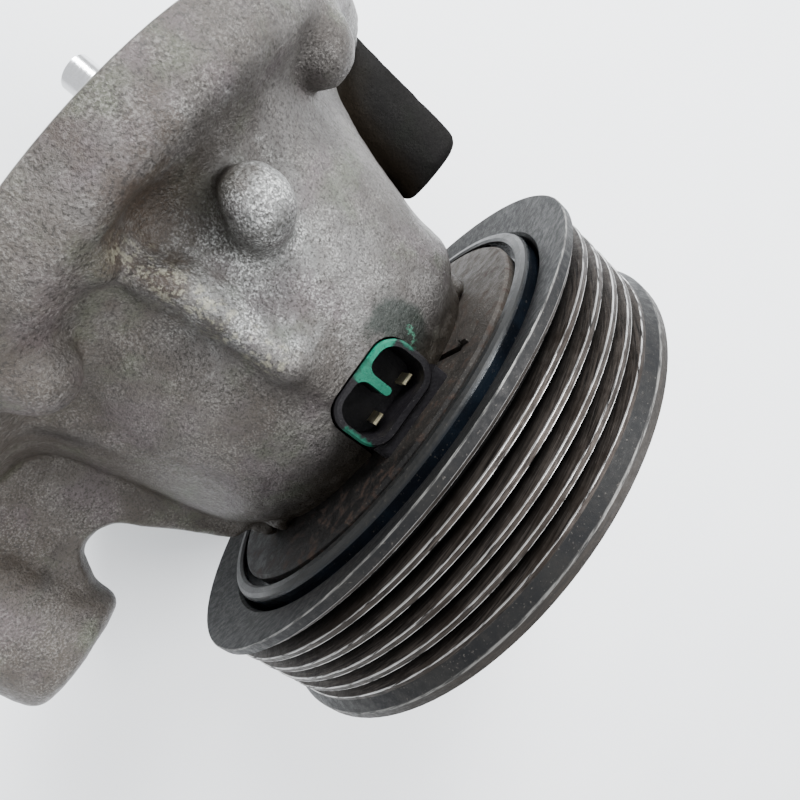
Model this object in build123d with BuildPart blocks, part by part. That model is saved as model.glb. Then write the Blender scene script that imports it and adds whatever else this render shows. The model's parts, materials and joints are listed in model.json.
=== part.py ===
"""Electromagnetic clutch of a car air-conditioning compressor, on the compressor's front housing.

Frame: shaft axis along Y, armature toward -Y, compressor toward +Y, +Z up through the coil
connector. The origin is on the shaft axis, in the middle plane of the belt grooves.
"""
import os
from math import atan, cos, degrees, radians, sin, tan

from build123d import *

# ---- belt pulley (5 PK grooves) ----
GROOVE_COUNT = 5
GROOVE_PITCH = 3.56
GROOVE_DEPTH = 2.6
GROOVE_FLANK = 20.0
CREST_R = 53.09
CREST_FLAT = 0.9
REAR_RIM_R = 53.99
REAR_RIM_Y = 11.04
REAR_RIM_WIDTH = 1.63
FRONT_RIM_R = 54.3
FRONT_RIM_Y = -13.2
FRONT_RIM_WIDTH = 1.8
OPENING_R = 47.53
OPENING_Y = 8.94
DRUM_BORE_R = 46.1
FRICTION_Y = -12.7
FRICTION_BACK_Y = -7.1
FRICTION_R = 52.0
HUB_TUBE_R = 28.6
HUB_TUBE_Y = 6.6
SLOT_WIDTH = 1.8
SLOT_BRIDGE = 4.5
SLOT_COUNT = 6
SLOT_RADII = (34.0, 43.0)

# ---- double row pulley bearing, 30 x 47 x 16 ----
BEARING_BORE_R = 15.0
BEARING_OUTER_R = 23.5
BEARING_FRONT_Y = -11.0
BEARING_WIDTH = 16.0
BEARING_REAR_Y = BEARING_FRONT_Y + BEARING_WIDTH
BALL_PITCH_R = 19.25
BALL_R = 2.5
BALL_PLAY = 0.05
BALL_COUNT = 13
INNER_LAND_R = 17.8
OUTER_LAND_R = 20.7
ROW_OFFSET = 3.6
BEARING_MID_Y = (BEARING_FRONT_Y + BEARING_REAR_Y) / 2
ROW_YS = (BEARING_MID_Y - ROW_OFFSET, BEARING_MID_Y + ROW_OFFSET)
SEAL_THICKNESS = 0.8
SEAL_INSET = 0.1
SEAL_SEAT_R = 21.9

# ---- field coil ----
COIL_OUTER_R = 45.44
COIL_WALL = 2.4
COIL_INNER_R = 29.2
COIL_INNER_WALL = 2.0
COIL_REAR_Y = 10.78
COIL_FRONT_Y = -5.7
COIL_BACK_Y = 6.8
PLATE_FRONT_Y = 8.8
PLATE_REAR_Y = 10.8
PLATE_BORE_R = 22.0
PLATE_R = 41.6
LIP_INNER_R = 43.0
LIP_GROOVE_DEPTH = 1.2
BOBBIN_WALL = 1.2
POTTING_DEPTH = 1.8

# ---- connector ----
PLUG_MID_X = -0.45
PLUG_HALF_X = 7.9
PLUG_FRONT_Y = 12.3
PLUG_REAR_Y = 22.7
PLUG_CORNER_R = 3.8
PLUG_TOP_Z = 36.8
PLUG_BASE_Z = 27.0
PLUG_EDGE = 0.35
CAVITY_HALF_X = 6.85
CAVITY_FRONT_Y = 13.6
CAVITY_REAR_Y = 21.7
CAVITY_CORNER_R = 2.9
CAVITY_FLOOR_Z = 29.0
DIVIDER_DEPTH = 4.9
DIVIDER_WIDTH = 1.4
DIVIDER_TIP_R = 0.65
DIVIDER_ROOT_R = 1.6
TAB_X = 3.8
TAB_Y = 14.9
TAB_TIP_Z = 33.3
TAB_WIDTH = 2.0
TAB_THICKNESS = 0.64
LEAD_R = 0.6
LEAD_Z = 28.0
LEAD_COIL_Z = 34.2
LEAD_TURN_Y = 12.2
LEAD_BEND_R = 1.2
LEAD_SLOT_HALF_X = 5.2
LEAD_SLOT_WIDTH = 2.6
BASE_HALF_X = 8.0
BASE_TOP_Z = 35.9
BASE_CORNER_R = 1.2
KEY_TURN = 26.5
KEY_PITCH_R = 36.2
KEY_LENGTH = 5.2
KEY_WIDTH = 2.0
KEY_HEIGHT = 0.9
SLIT_TURN = 21.8
SLIT_PITCH_R = 32.2
SLIT_LENGTH = 7.6
SLIT_WIDTH = 1.7

# ---- compressor front housing ----
SNOUT_R = 15.0
SNOUT_FRONT_Y = -14.2
SEAL_BORE_R = 10.5
SEAL_BORE_END_Y = 4.0
SHAFT_HOLE_R = 8.6
BEARING_STEP_R = 18.4
COIL_STEP_R = 22.0
NOSE_FACE_Y = 10.8
NEEDLE_BORE_R = 11.5
NEEDLE_FRONT_Y = 14.0
NEEDLE_REAR_Y = 27.0
CHAMBER_R = 38.0
FLANGE_FRONT_Y = 54.0
FLANGE_R = 53.0
FLANGE_EDGE = 1.5
HOUSING_REAR_Y = 62.0
BOSS_COUNT = 5
BOSS_PITCH_R = 47.0
BOSS_R = 5.2
BOSS_TURN = 42.0
BOSS_FRONT_Y = 48.0
BOSS_HOLE_R = 3.4
BOSS_HOLE_DEPTH = 10.5
# each ear: angle about the shaft, pitch radius, its own radius, y of its front end
LEFT_EAR = (-80.0, 66.0, 10.0, 26.5)
RIGHT_EAR = (90.0, 48.0, 8.5, 28.0)
EAR_EDGE_R = 3.0
EAR_HOLE_R = 4.3
EAR_WEB_HALF = 3.6
KNOB_TURN = 9.5
KNOB_Y = 45.8
KNOB_R = 5.2
KNOB_PITCH_R = 43.4
RIDGE_R = 5.0
# points on the axis of the ridge: angle about the shaft, radius, y
RIDGE_LINE = (
    (-9.0, 39.8, 55.0),
    (-8.4, 38.8, 50.0),
    (-8.0, 37.4, 44.0),
    (-7.2, 36.2, 38.0),
    (-6.8, 35.1, 31.5),
    (-7.5, 32.6, 25.0),
)
SWELL_R = 4.4
SWELL_LINE = ((-48.0, 39.0, 55.0), (-48.0, 30.0, 22.5))
FLAT_TURN = 65.0
FLAT_HALF = 16.0
# outline of the flat on the nose as (distance from the shaft axis, y) points
FLAT_LINE = (
    (28.7, 9.0),
    (29.4, 12.5),
    (30.9, 15.2),
    (33.2, 17.4),
    (35.2, 19.5),
    (35.0, 26.0),
    (36.0, 31.0),
    (37.3, 38.0),
    (39.4, 46.0),
)
# web of the left ear as (radius, y) points, from the nose to the ear
WEB_LINE = (
    (33.0, 15.6),
    (37.8, 16.6),
    (41.5, 25.9),
    (45.8, 36.0),
    (48.7, 37.7),
    (51.6, 37.6),
    (53.1, 36.9),
    (55.2, 33.5),
    (58.0, 30.5),
)
# lumps on the front edge: angle, radius, lump radius
EDGE_LUMPS = ((61.0, 30.2, 2.6), (-66.0, 31.6, 2.1), (-76.0, 32.6, 2.4), (-86.0, 31.8, 2.0))
EDGE_LUMP_GAP = 0.05
NOTCH_GAP = 0.35
NOTCH_FLOOR_Z = 26.6
DOWEL_R = 2.0
DOWEL_TURNS = (6.0, 222.0)
DOWEL_DEPTH = 5.0
DOWEL_RISE = 4.0
PIN_R = 1.5
PIN_PITCH_R = 26.0
PIN_REAR_Y = 14.8
JOINT_SEAL_R = 40.5
JOINT_SEAL_SECTION = 1.6
JOINT_SEAL_DEPTH = 1.2

# ---- shaft bearing and seal ----
NEEDLE_CUP_FRONT_Y = 15.0
NEEDLE_CUP_REAR_Y = 26.5
NEEDLE_CUP_LIP = 0.9
NEEDLE_R = 1.25
NEEDLE_PITCH_R = 9.28
NEEDLE_CUP_BORE_R = 10.56
NEEDLE_COUNT = 20
NEEDLE_PLAY = 0.1
NEEDLE_LENGTH = 9.5
SEAL_LIP_R = 8.03
SEAL_FRONT_Y = -6.0
SEAL_REAR_Y = 2.5
SEAL_SHELL_R = 9.6
SEAL_NOSE_R = 8.6

# ---- retaining rings: thickness, bite into the groove, slack of the groove along the axis ----
RING_THICKNESS = 1.25
SEAL_RING_THICKNESS = 1.15
COIL_RING_THICKNESS = 1.35
RING_SLACK = 0.05
RING_BITE = 1.0
SEAL_RING_BITE = 0.7
RING_EYE_SHARE = 0.22
RING_EYE_OFFSET = 1.2

# ---- shaft, hub and armature ----
SHAFT_R = 8.0
SHAFT_STUB_R = 6.0
SHAFT_SHOULDER_Y = -12.7
SHAFT_FRONT_Y = -24.7
SHAFT_TAIL_R = 7.0
SHAFT_TAIL_Y = 58.0
SHAFT_REAR_Y = 74.0
SHIM_THICKNESS = 0.3
SHIM_COUNT = 2
HUB_REAR_Y = SHAFT_SHOULDER_Y - SHIM_THICKNESS * SHIM_COUNT
HUB_FRONT_Y = -25.7
HUB_BOSS_R = 9.5
HUB_RIM_R = 18.2
HUB_WEB_Y = -19.2
AIR_GAP = 0.45
ARMATURE_REAR_Y = FRICTION_Y - AIR_GAP
ARMATURE_FRONT_Y = ARMATURE_REAR_Y - 4.0
ARMATURE_R = 49.8
ARMATURE_BORE_R = 26.0
CUP_SHEET = 1.8
CUP_BORE_R = 25.5
CUP_OUTER_R = 39.0
CUP_FRONT_Y = -25.2
DAMPER_PLAY = 0.03
RIVET_PITCH_R = 33.0
RIVET_R = 2.5
RIVET_HEAD_R = 4.2
RIVET_HEAD = 1.4
RIVET_RECESS = 0.2
ARMATURE_SLOT_R = 42.5
SCALLOP_PITCH_R = 52.0
SCALLOP_R = 20.0
BOLT_R = 3.0
BOLT_DEPTH = 14.0
BOLT_FLATS = 10.0
BOLT_HEAD = 4.2
WASHER = 1.6
WASHER_R = 9.0
SHAFT_KEY = 3.0
KEY_RISE = 1.2
KEYWAY_REAR_Y = -14.7
KEYWAY_FRONT_Y = -22.7
PULLER_PITCH_R = 12.2
PULLER_R = 1.6
CAGE_WIDTH = 6.2
CAGE_WALL = 1.3
POCKET_PLAY = 0.1
BEARING_LIP_R = 17.88
PULLEY_LIP_R = 22.3
PULLEY_RING = 1.2
CUP_REAR_Y = ARMATURE_FRONT_Y

# ---- bobbin, between the walls of the coil shell ----
BOBBIN_INNER_R = COIL_INNER_R + COIL_INNER_WALL
BOBBIN_OUTER_R = COIL_OUTER_R - COIL_WALL
BOBBIN_FRONT_Y = COIL_FRONT_Y + POTTING_DEPTH

# ---- inside of the crank chamber as (radius, y) points ----
CHAMBER_POINTS = (
    (16.0, NEEDLE_REAR_Y),
    (26.0, 33.0),
    (31.5, 40.0),
    (34.5, 46.0),
    (36.5, 52.0),
    (CHAMBER_R, 56.0),
)

# ---- outside of the nose as (radius, y) points ----
NOSE_POINTS = (
    (29.6, NOSE_FACE_Y),
    (32.4, 14.6),
    (34.9, 18.2),
    (36.9, 26.0),
    (38.4, 36.0),
    (39.6, 44.0),
    (41.2, 50.4),
    (45.0, 53.4),
)


def square_to_axis(y):
    """Plane square to the shaft at this y; its own x is X, its own y is Z, its normal is -Y."""
    return Plane.XZ.offset(-y)


def turned(outline):
    """Ring or disc turned about the shaft axis from (radius, y) points."""
    with BuildPart() as piece:
        with BuildSketch(Plane.XY):
            with BuildLine():
                Polyline(*outline, close=True)
            make_face()
        revolve(axis=Axis.Y)
    return piece


def ring(inner, outer, front, rear, edge=0.0):
    """Plain ring between two radii and two y positions, with a small chamfer on its corners."""
    outline = [
        (inner, front + edge),
        (inner + edge, front),
        (outer - edge, front),
        (outer, front + edge),
        (outer, rear - edge),
        (outer - edge, rear),
        (inner + edge, rear),
        (inner, rear - edge),
    ]
    if edge == 0.0:
        outline = [(inner, front), (outer, front), (outer, rear), (inner, rear)]
    return turned(outline)


def around(angle, radius, y):
    """Point at an angle from +Z toward +X about the shaft, at a radius and a y position."""
    turn = radians(angle)
    return (radius * sin(turn), y, radius * cos(turn))


def in_plane(angle, radius):
    """The same point in the own x and y of square_to_axis()."""
    turn = radians(angle)
    return (radius * sin(turn), radius * cos(turn))


def through_axis(angle):
    """Plane that holds the shaft axis; its own x is the radius at this angle, its own y is Y."""
    radius_dir = Vector(*around(angle, 1.0, 0.0))
    return Plane((0, 0, 0), x_dir=radius_dir, z_dir=radius_dir.cross(Vector(0, 1, 0)))


def bar(line, radius):
    """Round bar with rounded bends along (angle, radius, y) points."""
    points = [Vector(*around(*point)) for point in line]
    with BuildPart() as piece:
        for start, end in zip(points, points[1:]):
            with BuildSketch(Plane(start, z_dir=end - start)):
                Circle(radius)
            extrude(amount=(end - start).length)
            with Locations(end):
                Sphere(radius)
    return piece.part


def keep(piece, label):
    """Name a finished piece and write it."""
    piece.part.label = label
    export_step(piece.part, f"parts/{label}.step")


os.makedirs("parts", exist_ok=True)


# ---------------------------------------------------------------- front housing
def housing_casting():
    """Cast nose, flange, bolt bosses, ears and ribs, with every bore cut."""
    with BuildPart() as casting:
        with BuildSketch(Plane.XY):
            with BuildLine():
                shoulder = Polyline(
                    (0, SNOUT_FRONT_Y),
                    (SNOUT_R - 0.8, SNOUT_FRONT_Y),
                    (SNOUT_R, SNOUT_FRONT_Y + 0.8),
                    (SNOUT_R, BEARING_REAR_Y),
                    (BEARING_STEP_R, BEARING_REAR_Y),
                    (BEARING_STEP_R, BEARING_REAR_Y + 1.6),
                    (COIL_STEP_R - 0.6, BEARING_REAR_Y + 1.6),
                    (COIL_STEP_R, BEARING_REAR_Y + 2.2),
                    (COIL_STEP_R, NOSE_FACE_Y),
                    NOSE_POINTS[0],
                )
                nose = Spline(*NOSE_POINTS, tangents=((0.9, 1.0), (1.0, 0.15)))
                flange = Polyline(
                    nose @ 1,
                    (FLANGE_R - FLANGE_EDGE, FLANGE_FRONT_Y),
                    (FLANGE_R, FLANGE_FRONT_Y + FLANGE_EDGE),
                    (FLANGE_R, HOUSING_REAR_Y),
                    (0, HOUSING_REAR_Y),
                )
                Line(flange @ 1, shoulder @ 0)
            make_face()
        revolve(axis=Axis.Y)
        # long flat on one side of the nose
        with BuildSketch(through_axis(FLAT_TURN)):
            with BuildLine():
                Polyline(
                    *FLAT_LINE,
                    (FLANGE_R, FLAT_LINE[-1][1]),
                    (FLANGE_R, FLAT_LINE[0][1]),
                    close=True,
                )
            make_face()
        extrude(amount=FLAT_HALF, both=True, mode=Mode.SUBTRACT)
        # bolt bosses, each a column with a domed front end
        with BuildSketch(square_to_axis(HOUSING_REAR_Y)):
            for index in range(BOSS_COUNT):
                with Locations(in_plane(BOSS_TURN + index * 360 / BOSS_COUNT, BOSS_PITCH_R)):
                    Circle(BOSS_R)
        extrude(amount=HOUSING_REAR_Y - BOSS_FRONT_Y - BOSS_R)
        for index in range(BOSS_COUNT):
            turn = BOSS_TURN + index * 360 / BOSS_COUNT
            with Locations(around(turn, BOSS_PITCH_R, BOSS_FRONT_Y + BOSS_R)):
                Sphere(BOSS_R)
        # ridge that runs forward to the connector, and a shallow swelling beside it
        add(bar(RIDGE_LINE, RIDGE_R))
        add(bar(SWELL_LINE, SWELL_R))
        # domed knob that points away from the shaft
        knob_plane = Plane(around(KNOB_TURN, CHAMBER_R, KNOB_Y), z_dir=around(KNOB_TURN, 1.0, 0.0))
        with BuildSketch(knob_plane):
            Circle(KNOB_R)
        extrude(amount=KNOB_PITCH_R - CHAMBER_R)
        with Locations(around(KNOB_TURN, KNOB_PITCH_R, KNOB_Y)):
            Sphere(KNOB_R)
        # lumps left on the front edge
        for angle, radius, lump_r in EDGE_LUMPS:
            with Locations(around(angle, radius, NOSE_FACE_Y + lump_r + EDGE_LUMP_GAP)):
                Sphere(lump_r)
        # mounting ears, and the web that carries the left one
        for angle, pitch_r, ear_r, front_y in (LEFT_EAR, RIGHT_EAR):
            with BuildSketch(square_to_axis(HOUSING_REAR_Y)):
                with Locations(in_plane(angle, pitch_r)):
                    Circle(ear_r)
            extrude(amount=HOUSING_REAR_Y - front_y)
            ear_rim = casting.edges(Select.LAST).filter_by(GeomType.CIRCLE).sort_by(Axis.Y)[0]
            fillet(ear_rim, EAR_EDGE_R)
        with BuildSketch(through_axis(LEFT_EAR[0])):
            with BuildLine():
                Polyline(
                    *WEB_LINE,
                    (WEB_LINE[-1][0], HOUSING_REAR_Y),
                    (COIL_STEP_R, HOUSING_REAR_Y),
                    (COIL_STEP_R, WEB_LINE[0][1]),
                    close=True,
                )
            make_face()
        extrude(amount=EAR_WEB_HALF, both=True)
        # crank chamber, shaft bearing bore, shaft hole and seal bore
        with BuildSketch(Plane.XY):
            with BuildLine():
                Polyline(
                    (0, SNOUT_FRONT_Y),
                    (SEAL_BORE_R + 0.5, SNOUT_FRONT_Y),
                    (SEAL_BORE_R, SNOUT_FRONT_Y + 0.5),
                    (SEAL_BORE_R, SEAL_BORE_END_Y),
                    (SHAFT_HOLE_R, SEAL_BORE_END_Y),
                    (SHAFT_HOLE_R, NEEDLE_FRONT_Y),
                    (NEEDLE_BORE_R, NEEDLE_FRONT_Y),
                    (NEEDLE_BORE_R, NEEDLE_REAR_Y),
                    *CHAMBER_POINTS,
                    (CHAMBER_R, HOUSING_REAR_Y),
                    (0, HOUSING_REAR_Y),
                    close=True,
                )
            make_face()
        revolve(axis=Axis.Y, mode=Mode.SUBTRACT)
        # snap ring grooves: bearing, coil and shaft seal
        with BuildSketch(Plane.XY):
            with Locations((SNOUT_R, BEARING_FRONT_Y - (RING_THICKNESS + RING_SLACK) / 2)):
                Rectangle(2 * RING_BITE, RING_THICKNESS + RING_SLACK)
            with Locations((COIL_STEP_R, PLATE_FRONT_Y - (COIL_RING_THICKNESS + RING_SLACK) / 2)):
                Rectangle(2 * RING_BITE, COIL_RING_THICKNESS + RING_SLACK)
            with Locations((SEAL_BORE_R, SEAL_FRONT_Y - (SEAL_RING_THICKNESS + RING_SLACK) / 2)):
                Rectangle(2 * SEAL_RING_BITE, SEAL_RING_THICKNESS + RING_SLACK)
        revolve(axis=Axis.Y, mode=Mode.SUBTRACT)
        # notch at the front of the nose for the connector
        with BuildSketch(Plane.XY.offset(NOTCH_FLOOR_Z)):
            with Locations((0, NOSE_FACE_Y)):
                Rectangle(2 * (BASE_HALF_X + NOTCH_GAP), 2 * (PLUG_FRONT_Y + 1 - NOSE_FACE_Y))
            notch_front = NOSE_FACE_Y - PLUG_CORNER_R - NOTCH_GAP
            notch_rear = PLUG_REAR_Y + NOTCH_GAP
            with Locations((PLUG_MID_X, (notch_front + notch_rear) / 2)):
                RectangleRounded(
                    2 * (PLUG_HALF_X + NOTCH_GAP),
                    notch_rear - notch_front,
                    PLUG_CORNER_R + NOTCH_GAP,
                )
        extrude(amount=FLANGE_R - NOTCH_FLOOR_Z, mode=Mode.SUBTRACT)
        # blind tapped holes in the bosses, from the joint face
        with BuildSketch(square_to_axis(HOUSING_REAR_Y)):
            for index in range(BOSS_COUNT):
                with Locations(in_plane(BOSS_TURN + index * 360 / BOSS_COUNT, BOSS_PITCH_R)):
                    Circle(BOSS_HOLE_R)
        extrude(amount=BOSS_HOLE_DEPTH, mode=Mode.SUBTRACT)
        # dowel holes, coil pin hole and joint seal groove
        with BuildSketch(square_to_axis(HOUSING_REAR_Y)):
            for turn in DOWEL_TURNS:
                with Locations(in_plane(turn, BOSS_PITCH_R)):
                    Circle(DOWEL_R)
        extrude(amount=DOWEL_DEPTH, mode=Mode.SUBTRACT)
        with BuildSketch(square_to_axis(PIN_REAR_Y)):
            with Locations(in_plane(180, PIN_PITCH_R)):
                Circle(PIN_R)
        extrude(amount=PIN_REAR_Y - NOSE_FACE_Y, mode=Mode.SUBTRACT)
        with BuildSketch(square_to_axis(HOUSING_REAR_Y)):
            Circle(JOINT_SEAL_R + JOINT_SEAL_SECTION / 2)
            Circle(JOINT_SEAL_R - JOINT_SEAL_SECTION / 2, mode=Mode.SUBTRACT)
        extrude(amount=JOINT_SEAL_DEPTH, mode=Mode.SUBTRACT)
        # through holes in the ears
        for angle, pitch_r, ear_r, front_y in (LEFT_EAR, RIGHT_EAR):
            with BuildSketch(square_to_axis(HOUSING_REAR_Y)):
                with Locations(in_plane(angle, pitch_r)):
                    Circle(EAR_HOLE_R)
            extrude(amount=HOUSING_REAR_Y - front_y, mode=Mode.SUBTRACT)
    return casting


front_housing = housing_casting()
keep(front_housing, "front_housing")

with BuildPart() as joint_seal:
    with BuildSketch(square_to_axis(HOUSING_REAR_Y)):
        Circle(JOINT_SEAL_R + JOINT_SEAL_SECTION / 2)
        Circle(JOINT_SEAL_R - JOINT_SEAL_SECTION / 2, mode=Mode.SUBTRACT)
    extrude(amount=JOINT_SEAL_DEPTH)
keep(joint_seal, "joint_seal_ring")

with BuildPart() as dowels:
    with BuildSketch(square_to_axis(HOUSING_REAR_Y + DOWEL_RISE)):
        for turn in DOWEL_TURNS:
            with Locations(in_plane(turn, BOSS_PITCH_R)):
                Circle(DOWEL_R)
    extrude(amount=DOWEL_DEPTH + DOWEL_RISE)
keep(dowels, "housing_dowels")

# ---------------------------------------------------------------- shaft bearing and seal
needle_cup = turned(
    [
        (NEEDLE_CUP_BORE_R, NEEDLE_CUP_FRONT_Y + NEEDLE_CUP_LIP),
        (SHAFT_HOLE_R, NEEDLE_CUP_FRONT_Y + NEEDLE_CUP_LIP),
        (SHAFT_HOLE_R, NEEDLE_CUP_FRONT_Y),
        (NEEDLE_BORE_R, NEEDLE_CUP_FRONT_Y),
        (NEEDLE_BORE_R, NEEDLE_CUP_REAR_Y),
        (SHAFT_HOLE_R, NEEDLE_CUP_REAR_Y),
        (SHAFT_HOLE_R, NEEDLE_CUP_REAR_Y - NEEDLE_CUP_LIP),
        (NEEDLE_CUP_BORE_R, NEEDLE_CUP_REAR_Y - NEEDLE_CUP_LIP),
    ]
)
keep(needle_cup, "needle_bearing_cup")

with BuildPart() as needles:
    with BuildSketch(square_to_axis(NEEDLE_CUP_REAR_Y - NEEDLE_CUP_LIP - NEEDLE_PLAY)):
        with PolarLocations(NEEDLE_PITCH_R, NEEDLE_COUNT):
            Circle(NEEDLE_R)
    extrude(amount=NEEDLE_LENGTH)
    chamfer(needles.edges().filter_by(GeomType.CIRCLE), 0.2)
keep(needles, "needle_rollers")

shaft_seal = turned(
    [
        (SEAL_LIP_R, SEAL_FRONT_Y + 5.2),
        (SEAL_LIP_R, SEAL_FRONT_Y + 4.6),
        (9.0, SEAL_FRONT_Y + 1.4),
        (SEAL_NOSE_R, SEAL_FRONT_Y + 1.2),
        (SEAL_NOSE_R, SEAL_FRONT_Y),
        (SEAL_BORE_R, SEAL_FRONT_Y),
        (SEAL_BORE_R, SEAL_REAR_Y),
        (SEAL_SHELL_R, SEAL_REAR_Y),
        (SEAL_SHELL_R, SEAL_FRONT_Y + 3.6),
    ]
)
keep(shaft_seal, "shaft_seal")


def snap_ring(inner, outer, front, rear, gap_angle, gap_width):
    """Retaining ring: a flat ring with a gap at one angle and two eye holes beside it."""
    with BuildPart() as piece:
        with BuildSketch(square_to_axis(rear)):
            Circle(outer)
            Circle(inner, mode=Mode.SUBTRACT)
            with Locations(in_plane(gap_angle, (inner + outer) / 2)):
                Rectangle(gap_width, 3 * (outer - inner), rotation=-gap_angle, mode=Mode.SUBTRACT)
            eye = degrees(atan((gap_width / 2 + RING_EYE_OFFSET) / inner))
            with Locations(
                in_plane(gap_angle - eye, (inner + outer) / 2),
                in_plane(gap_angle + eye, (inner + outer) / 2),
            ):
                Circle((outer - inner) * RING_EYE_SHARE, mode=Mode.SUBTRACT)
        extrude(amount=rear - front)
    return piece


keep(
    snap_ring(8.9, SEAL_BORE_R + 0.6, SEAL_FRONT_Y - SEAL_RING_THICKNESS, SEAL_FRONT_Y, 0, 2.4),
    "shaft_seal_clip",
)

# ---------------------------------------------------------------- field coil
coil_plate_base = [
    (PLATE_BORE_R, PLATE_FRONT_Y),
    (PLATE_R, PLATE_FRONT_Y),
    (PLATE_R, PLATE_REAR_Y - 0.5),
    (PLATE_R - 0.5, PLATE_REAR_Y),
    (PLATE_BORE_R, PLATE_REAR_Y),
]
with BuildPart() as coil_plate:
    with BuildSketch(Plane.XY):
        with BuildLine():
            Polyline(*coil_plate_base, close=True)
        make_face()
    revolve(axis=Axis.Y)
    # pressed key beside the connector, standing on the plate
    with BuildSketch(square_to_axis(PLATE_REAR_Y + KEY_HEIGHT)):
        with Locations(in_plane(KEY_TURN, KEY_PITCH_R)):
            Rectangle(KEY_LENGTH, KEY_WIDTH, rotation=-KEY_TURN)
    extrude(amount=KEY_HEIGHT)
    # slots for the leads and beside the key, and the hole for the locating pin
    with BuildSketch(square_to_axis(PLATE_REAR_Y + KEY_HEIGHT)):
        with Locations((0, LEAD_COIL_Z)):
            SlotOverall(2 * LEAD_SLOT_HALF_X, LEAD_SLOT_WIDTH)
        with Locations(in_plane(SLIT_TURN, SLIT_PITCH_R)):
            Rectangle(SLIT_WIDTH, SLIT_LENGTH, rotation=-SLIT_TURN)
        with Locations(in_plane(180, PIN_PITCH_R)):
            Circle(PIN_R)
    extrude(amount=PLATE_REAR_Y + KEY_HEIGHT - PLATE_FRONT_Y, mode=Mode.SUBTRACT)
keep(coil_plate, "coil_plate")

with BuildPart() as coil_pin:
    with BuildSketch(square_to_axis(PIN_REAR_Y)):
        with Locations(in_plane(180, PIN_PITCH_R)):
            Circle(PIN_R)
    extrude(amount=PIN_REAR_Y - PLATE_FRONT_Y)
    chamfer(coil_pin.edges().filter_by(GeomType.CIRCLE), 0.3)
keep(coil_pin, "coil_locating_pin")

keep(
    snap_ring(
        COIL_STEP_R - 0.9,
        COIL_STEP_R + 2.4,
        PLATE_FRONT_Y - COIL_RING_THICKNESS,
        PLATE_FRONT_Y,
        gap_angle=0,
        gap_width=5.0,
    ),
    "coil_snap_ring",
)

with BuildPart() as coil_shell:
    with BuildSketch(Plane.XY):
        with BuildLine():
            Polyline(
                (COIL_INNER_R, COIL_FRONT_Y + 0.4),
                (COIL_INNER_R + 0.4, COIL_FRONT_Y),
                (COIL_INNER_R + COIL_INNER_WALL, COIL_FRONT_Y),
                (COIL_INNER_R + COIL_INNER_WALL, COIL_BACK_Y),
                (COIL_OUTER_R - COIL_WALL, COIL_BACK_Y),
                (COIL_OUTER_R - COIL_WALL, COIL_FRONT_Y),
                (COIL_OUTER_R - 0.4, COIL_FRONT_Y),
                (COIL_OUTER_R, COIL_FRONT_Y + 0.4),
                (COIL_OUTER_R, COIL_REAR_Y - 1.1),
                (COIL_OUTER_R - 0.3, COIL_REAR_Y - 0.45),
                (COIL_OUTER_R - 0.9, COIL_REAR_Y),
                (LIP_INNER_R + 0.5, COIL_REAR_Y),
                (LIP_INNER_R, COIL_REAR_Y - 0.4),
                (LIP_INNER_R, PLATE_FRONT_Y - LIP_GROOVE_DEPTH),
                (PLATE_R, PLATE_FRONT_Y - LIP_GROOVE_DEPTH),
                (PLATE_R, PLATE_FRONT_Y),
                (COIL_INNER_R, PLATE_FRONT_Y),
                close=True,
            )
        make_face()
    revolve(axis=Axis.Y)
    with BuildSketch(square_to_axis(PLATE_FRONT_Y)):
        with Locations((0, LEAD_COIL_Z)):
            SlotOverall(2 * LEAD_SLOT_HALF_X, LEAD_SLOT_WIDTH)
    extrude(amount=PLATE_FRONT_Y - COIL_BACK_Y, mode=Mode.SUBTRACT)
keep(coil_shell, "coil_shell")

with BuildPart() as bobbin:
    with BuildSketch(Plane.XY):
        with BuildLine():
            Polyline(
                (BOBBIN_INNER_R, BOBBIN_FRONT_Y),
                (BOBBIN_OUTER_R, BOBBIN_FRONT_Y),
                (BOBBIN_OUTER_R, BOBBIN_FRONT_Y + BOBBIN_WALL),
                (BOBBIN_INNER_R + BOBBIN_WALL, BOBBIN_FRONT_Y + BOBBIN_WALL),
                (BOBBIN_INNER_R + BOBBIN_WALL, COIL_BACK_Y - BOBBIN_WALL),
                (BOBBIN_OUTER_R, COIL_BACK_Y - BOBBIN_WALL),
                (BOBBIN_OUTER_R, COIL_BACK_Y),
                (BOBBIN_INNER_R, COIL_BACK_Y),
                close=True,
            )
        make_face()
    revolve(axis=Axis.Y)
    with BuildSketch(square_to_axis(COIL_BACK_Y)):
        with Locations((0, LEAD_COIL_Z)):
            SlotOverall(2 * LEAD_SLOT_HALF_X, LEAD_SLOT_WIDTH)
    extrude(amount=BOBBIN_WALL, mode=Mode.SUBTRACT)
keep(bobbin, "coil_bobbin")

winding = ring(
    BOBBIN_INNER_R + BOBBIN_WALL,
    BOBBIN_OUTER_R,
    BOBBIN_FRONT_Y + BOBBIN_WALL,
    COIL_BACK_Y - BOBBIN_WALL,
)
keep(winding, "coil_winding")

potting = ring(BOBBIN_INNER_R, BOBBIN_OUTER_R, COIL_FRONT_Y + 0.3, BOBBIN_FRONT_Y)
keep(potting, "coil_potting")

# ---------------------------------------------------------------- leads, tabs and connector
with BuildPart() as leads:
    for side in (-1, 1):
        with BuildLine():
            lead_path = FilletPolyline(
                (side * TAB_X, COIL_BACK_Y - BOBBIN_WALL, LEAD_COIL_Z),
                (side * TAB_X, LEAD_TURN_Y, LEAD_COIL_Z),
                (side * TAB_X, LEAD_TURN_Y, LEAD_Z),
                (side * TAB_X, TAB_Y - TAB_THICKNESS, LEAD_Z),
                radius=LEAD_BEND_R,
            )
        with BuildSketch(Plane(lead_path @ 0, z_dir=lead_path % 0)):
            Circle(LEAD_R)
        sweep(path=lead_path)
keep(leads, "coil_leads")


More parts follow.
